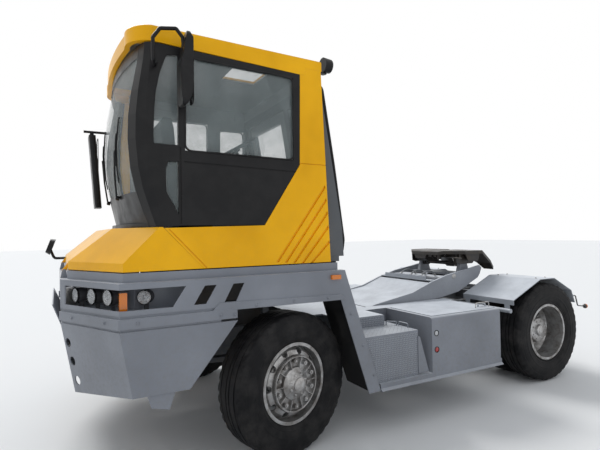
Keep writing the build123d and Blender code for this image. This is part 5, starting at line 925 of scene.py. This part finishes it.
# %% [markdown]
# The windows get a black rubber profile. It is a tube along a closed loop, so one loop of corner points per window
# is enough: the corners are rounded first, and then the tube is drawn. One fault is still open: the rear door's loop
# is wider than its pane and sits higher, so it doesn't follow the glass.

# %% Window seals
def seal(work, corners, radius=0.007, corner=0.05):
    """A rubber profile round a window."""
    tube(work, rounded(corners, corner, 5, closed=True), radius, 8, closed=True)


def rear_x(z):
    """The rear wall's outer face leans back towards its foot."""
    return 0.657 + (z - 1.679) * 0.162861


work = bmesh.new()
seal(work, [(1.104, 1.1985, 2.192), (1.102, 1.1985, 2.812), (1.913, 1.1985, 2.834), (1.92, 1.1985, 2.206)])
seal(work, [(0.89, -0.4015, 2.2), (0.89, -0.4015, 2.74), (1.16, -0.4015, 2.74), (1.16, -0.4015, 2.2)])
seal(work, [(1.29, -0.4015, 2.192), (1.29, -0.4015, 2.79), (1.98, -0.4015, 2.79), (1.98, -0.4015, 2.192)])
add_object("side_seals", finished(work, "seals"), "cab", "black_frame", trim_rubber)
work = bmesh.new()
door_low, door_high = 2.1, 2.72
door_corners = ((-0.2, door_low), (-0.2, door_high), (0.51, door_high), (0.51, door_low))
seal(work, [(rear_x(z) - 0.0035, y, z) for y, z in door_corners], 0.006)
add_object("door_seal", finished(work, "seal"), "cab_door", "black_frame", trim_rubber)

# %% [markdown]
# The cab's windscreen bulges forwards a little, so the wipers are drawn along the same curve, a hair in front of
# the pane. A wiper is a flat arm from a pivot on the scuttle, a bow, and the thin blade that lies on the glass.

# %% Wipers
post_rows = [(1.699, 2.138), (1.8, 2.178), (1.948, 2.226), (2.09, 2.255), (2.271, 2.269), (2.427, 2.264),
             (2.587, 2.244), (2.79, 2.205), (2.898, 2.196)]


def screen_x(y, z):
    """Outer face of the windscreen."""
    for (low_z, low_x), (high_z, high_x) in zip(post_rows, post_rows[1:]):
        if z <= high_z:
            edge = low_x + (high_x - low_x) * (z - low_z) / (high_z - low_z)
            break
    return edge - 0.003 + 0.075 * (1 - ((y - 0.4) / 0.7) ** 2)


work = bmesh.new()
for pivot_y, tip_y in ((0.15, 0.56), (0.72, 1.02)):
    foot = Vector((screen_x(pivot_y, 1.93) + 0.012, pivot_y, 1.915))
    lathe(work, [(0, -0.01), (0.016, -0.01), (0.016, 0.01), (0.011, 0.016), (0, 0.017)], foot,
          Vector((1, 0, 0.2)), 16)
    middle_z = 2.235
    middle = Vector((screen_x((pivot_y + tip_y) / 2, middle_z) + 0.02, (pivot_y + tip_y) / 2, middle_z))
    tube(work, [foot + Vector((0.008, 0, 0)), foot.lerp(middle, 0.5) + Vector((0.01, 0, 0)), middle], 0.0065, 8)
    blade = []
    for k in range(13):
        t = k / 12
        y = (pivot_y + tip_y) / 2 + (t - 0.5) * 0.1
        z = middle_z - 0.22 + 0.44 * t
        blade.append((screen_x(y, z) + 0.007, y, z))
    tube(work, blade, 0.005, 6)
    tube(work, [Vector(p) + Vector((0.008, 0, 0)) for p in blade[3:10]], 0.0035, 6)
add_object("wipers", finished(work, "wipers"), "cab", "black_frame", frame_black)

# %% [markdown]
# A mirror's pane faces the driver. It is a thin rounded rectangle with a rubber rim round it, finished as a very
# smooth metal. The door's handle is a bent bar on two feet, drawn on the door so that it swings along.

# %% Mirror panes and the door handle
panes, rims = bmesh.new(), bmesh.new()
for x, y, z, half_y, half_z in ((1.896, 1.292, 2.7145, 0.045, 0.222), (2.3235, -0.6, 2.2635, 0.076, 0.322)):
    corners = [(x, y + a * half_y, z + b * half_z) for a, b in ((-1, -1), (1, -1), (1, 1), (-1, 1))]
    outline = rounded(corners, 0.035, 5, closed=True)
    plate(panes, outline, Vector((-0.0018, 0, 0)))
    tube(rims, outline, 0.0035, 6, closed=True)
add_object("mirror_panes", finished(panes, "panes"), "cab", "black_frame", mirror_glass)
add_object("mirror_rims", finished(rims, "rims"), "cab", "black_frame", trim_rubber)
work = bmesh.new()
low, high = 2.02, 2.16
grip = [(rear_x(z) + out_by, 0.455, z)
        for z, out_by in ((low, 0.002), (low, -0.04), (high, -0.04), (high, 0.002))]
tube(work, rounded(grip, 0.02), 0.0075, 10)
for z in (low, high):
    lathe(work, [(0, -0.002), (0.016, -0.002), (0.016, 0.004), (0.011, 0.007), (0, 0.007)],
          Vector((rear_x(z), 0.455, z)), Vector((-1, 0, 0.163)), 16)
add_object("door_handle", finished(work, "handle"), "cab_door", "black_frame", frame_black)

# %% [markdown]
# The side box opens with a lid, and a bent wire on two small discs is its handle. It rides on the lid, so it swings
# with it.

# %% Lid handle
work = bmesh.new()
tube(work, rounded([(-1.081, 1.13, 0.882), (-1.081, 1.13, 0.935), (-0.896, 1.13, 0.935), (-0.896, 1.13, 0.882)],
                   0.022), 0.005, 10)
for x in (-1.081, -0.896):
    lathe(work, [(0, 0), (0.013, 0), (0.013, 0.003), (0.009, 0.005), (0, 0.005)], Vector((x, 1.13, 0.8835)), up, 14)
add_object("lid_handle", finished(work, "handle"), "box_lid", "blue_grey_paint", bright_steel)
print("seals, wipers and handles drawn")

# %% [markdown]
# The work lamp over the door has a shallow lens. The air cleaner is a canister: two flat bands with screw
# blocks hold it to its feet, its end cap has pressed rings, and a ring of slots lets air in under the rain hat.

# %% Work lamp and air cleaner
work = bmesh.new()
lathe(work, [(0, 0.0), (0.05, 0.0), (0.05, 0.004), (0.035, 0.009), (0.015, 0.012), (0, 0.0125)],
      Vector((0.709, 1.1, 2.995)), Vector((-1, 0, 0)), 32)
add_object("work_lamp_lens", finished(work, "lens"), "cab", "lamp_glass", lamp_glass)
work = bmesh.new()
ahead, canister = Vector((1, 0, 0)), Vector((0, -0.82, 1.59))
for x in (0.94, 1.32):
    lathe(work, [(0.1495, 0), (0.153, 0), (0.153, 0.038), (0.1495, 0.038)], canister + ahead * x, ahead, 56,
          closed=True)
    block(work, (x + 0.004, -0.842, 1.738), (x + 0.034, -0.798, 1.766), 0.004)
for x, way in ((0.9, -1), (1.42, 1)):
    lathe(work, [(0, 0), (0.148, 0), (0.148, 0.004), (0.132, 0.012), (0.118, 0.012), (0.108, 0.007), (0.06, 0.007),
                 (0.052, 0.013), (0.02, 0.015), (0, 0.015)], canister + ahead * x, ahead * way, 56)
for radial in circle(ahead, left, 20):
    place, half = Vector((1.33, -0.82, 0)) + radial * 0.0545, up.cross(radial) * 0.0032
    rib(work, place + up * 1.765, place + up * 1.822, half, radial * 0.006)
add_object("canister_trim", finished(work, "trim"), "chassis", "black_frame", frame_black)

# %% [markdown]
# The fenders are held by bolts through their tops. The lift arm's bosses get a retaining disc with two small screws
# each, and two plates stand under the cab's edge.

# %% Fender bolts, arm bosses and cab stops
fender_bolts = [((x, side * y, 1.103), up, 0.2)
                for side in both_sides for x in (-1.96, -2.12) for y in (0.56, 1.04)]
set_out("fender_bolts", small_bolt, fender_bolts, "chassis", "light_grey_paint", bright_steel, 0.5, 11)
boss, boss_screws = bmesh.new(), []
for side in both_sides:
    centre = Vector((-1.329, side * 0.46, 1.118))
    lathe(boss, [(0, -0.002), (0.03, -0.002), (0.03, 0.003), (0.024, 0.005), (0, 0.005)], centre,
          left * side, 28)
    boss_screws += [(centre + Vector((dx, side * 0.0045, 0)), (0, side, 0), 0.0) for dx in (-0.014, 0.014)]
add_object("arm_bosses", finished(boss, "bosses"), "lift_arm", "chassis_paint", bright_steel)
set_out("boss_screws", small_screw, boss_screws, "lift_arm", "chassis_paint", bright_steel)
work = bmesh.new()
for side in both_sides:
    plate(work, [(1.028, side * 1.15, 1.403), (0.835, side * 1.15, 1.401), (0.871, side * 1.15, 1.352),
                 (0.979, side * 1.15, 1.352)], Vector((0, side * 0.045, 0)))
add_object("cab_stops", finished(work, "stops"), "chassis", "chassis_paint", wing_paint)
print("small parts drawn")

# %% [markdown]
# On the right the fuel and oil tanks hang between the wheels. Four bars with a bolt at each end stand for straps, and
# two caps for the fillers, with ribs for a gloved hand. One fault is still open: CAD's own straps are in other
# places, and these bars stand 5 mm off the tank's face.

# %% Tank straps and filler caps
straps, strap_bolts, caps = bmesh.new(), [], bmesh.new()
for x in (-0.88, -0.56, -0.21, 0.2):
    block(straps, (x - 0.022, -1.2345, 0.45), (x + 0.022, -1.23, 0.868), 0.0012)
    strap_bolts += [((x, -1.2345, z), (0, -1, 0), 0.3) for z in (0.478, 0.835)]
add_object("tank_straps", finished(straps, "straps"), "chassis", "blue_grey_paint", frame_paint)
set_out("strap_bolts", small_bolt, strap_bolts, "chassis", "blue_grey_paint", bright_steel, 0.5, 13)
for x in (-0.72, 0.06):
    place, way = Vector((x, -1.2305, 0.775)), Vector((0, -1, 0))
    lathe(caps, [(0, -0.002), (0.05, -0.002), (0.05, 0.006), (0.046, 0.01), (0, 0.01)], place, way, 36)
    lathe(caps, [(0, 0.008), (0.04, 0.008), (0.04, 0.03), (0.037, 0.034), (0.02, 0.036), (0, 0.036)], place, way, 36)
    for radial in circle(ahead, up, 18):
        start = place + radial * 0.0395 + way * 0.011
        rib(caps, start, start + way * 0.017, radial.cross(left) * 0.003, radial * 0.003)
add_object("filler_caps", finished(caps, "caps"), "chassis", "black_frame", frame_black)

# %% [markdown]
# The cab tilts forwards, so it only rests on the chassis. On the left a rubber strip on the chassis and a lip on
# the cab close the joint together, and a gutter on the rear wall keeps the rain off the door.

# %% Joint strip and door gutter
work = bmesh.new()
plate(work, rounded([(0.71, 1.12, 1.345), (1.78, 1.12, 1.345), (1.78, 1.12, 1.4045), (0.71, 1.12, 1.4045)],
                    0.012, 3, closed=True), Vector((0, 0.01, 0)))
add_object("joint_strip", finished(work, "strip"), "chassis", "black_rubber", trim_rubber)
work = bmesh.new()
plate(work, rounded([(0.71, 1.138, 1.392), (2.02, 1.138, 1.392), (2.02, 1.138, 1.4155), (0.71, 1.138, 1.4155)],
                    0.006, 3, closed=True), Vector((0, 0.008, 0)))
add_object("joint_lip", finished(work, "lip"), "cab", "black_rubber", trim_rubber)
work = bmesh.new()
gutter = [(rear_x(z) - 0.004, y, z) for y, z in ((-0.3, 2.7), (-0.29, 2.775), (0.59, 2.775), (0.6, 2.7))]
tube(work, rounded(gutter, 0.03), 0.006, 8)
add_object("door_gutter", finished(work, "gutter"), "cab", "black_frame", trim_rubber)
print("right side and rear wall trimmed")
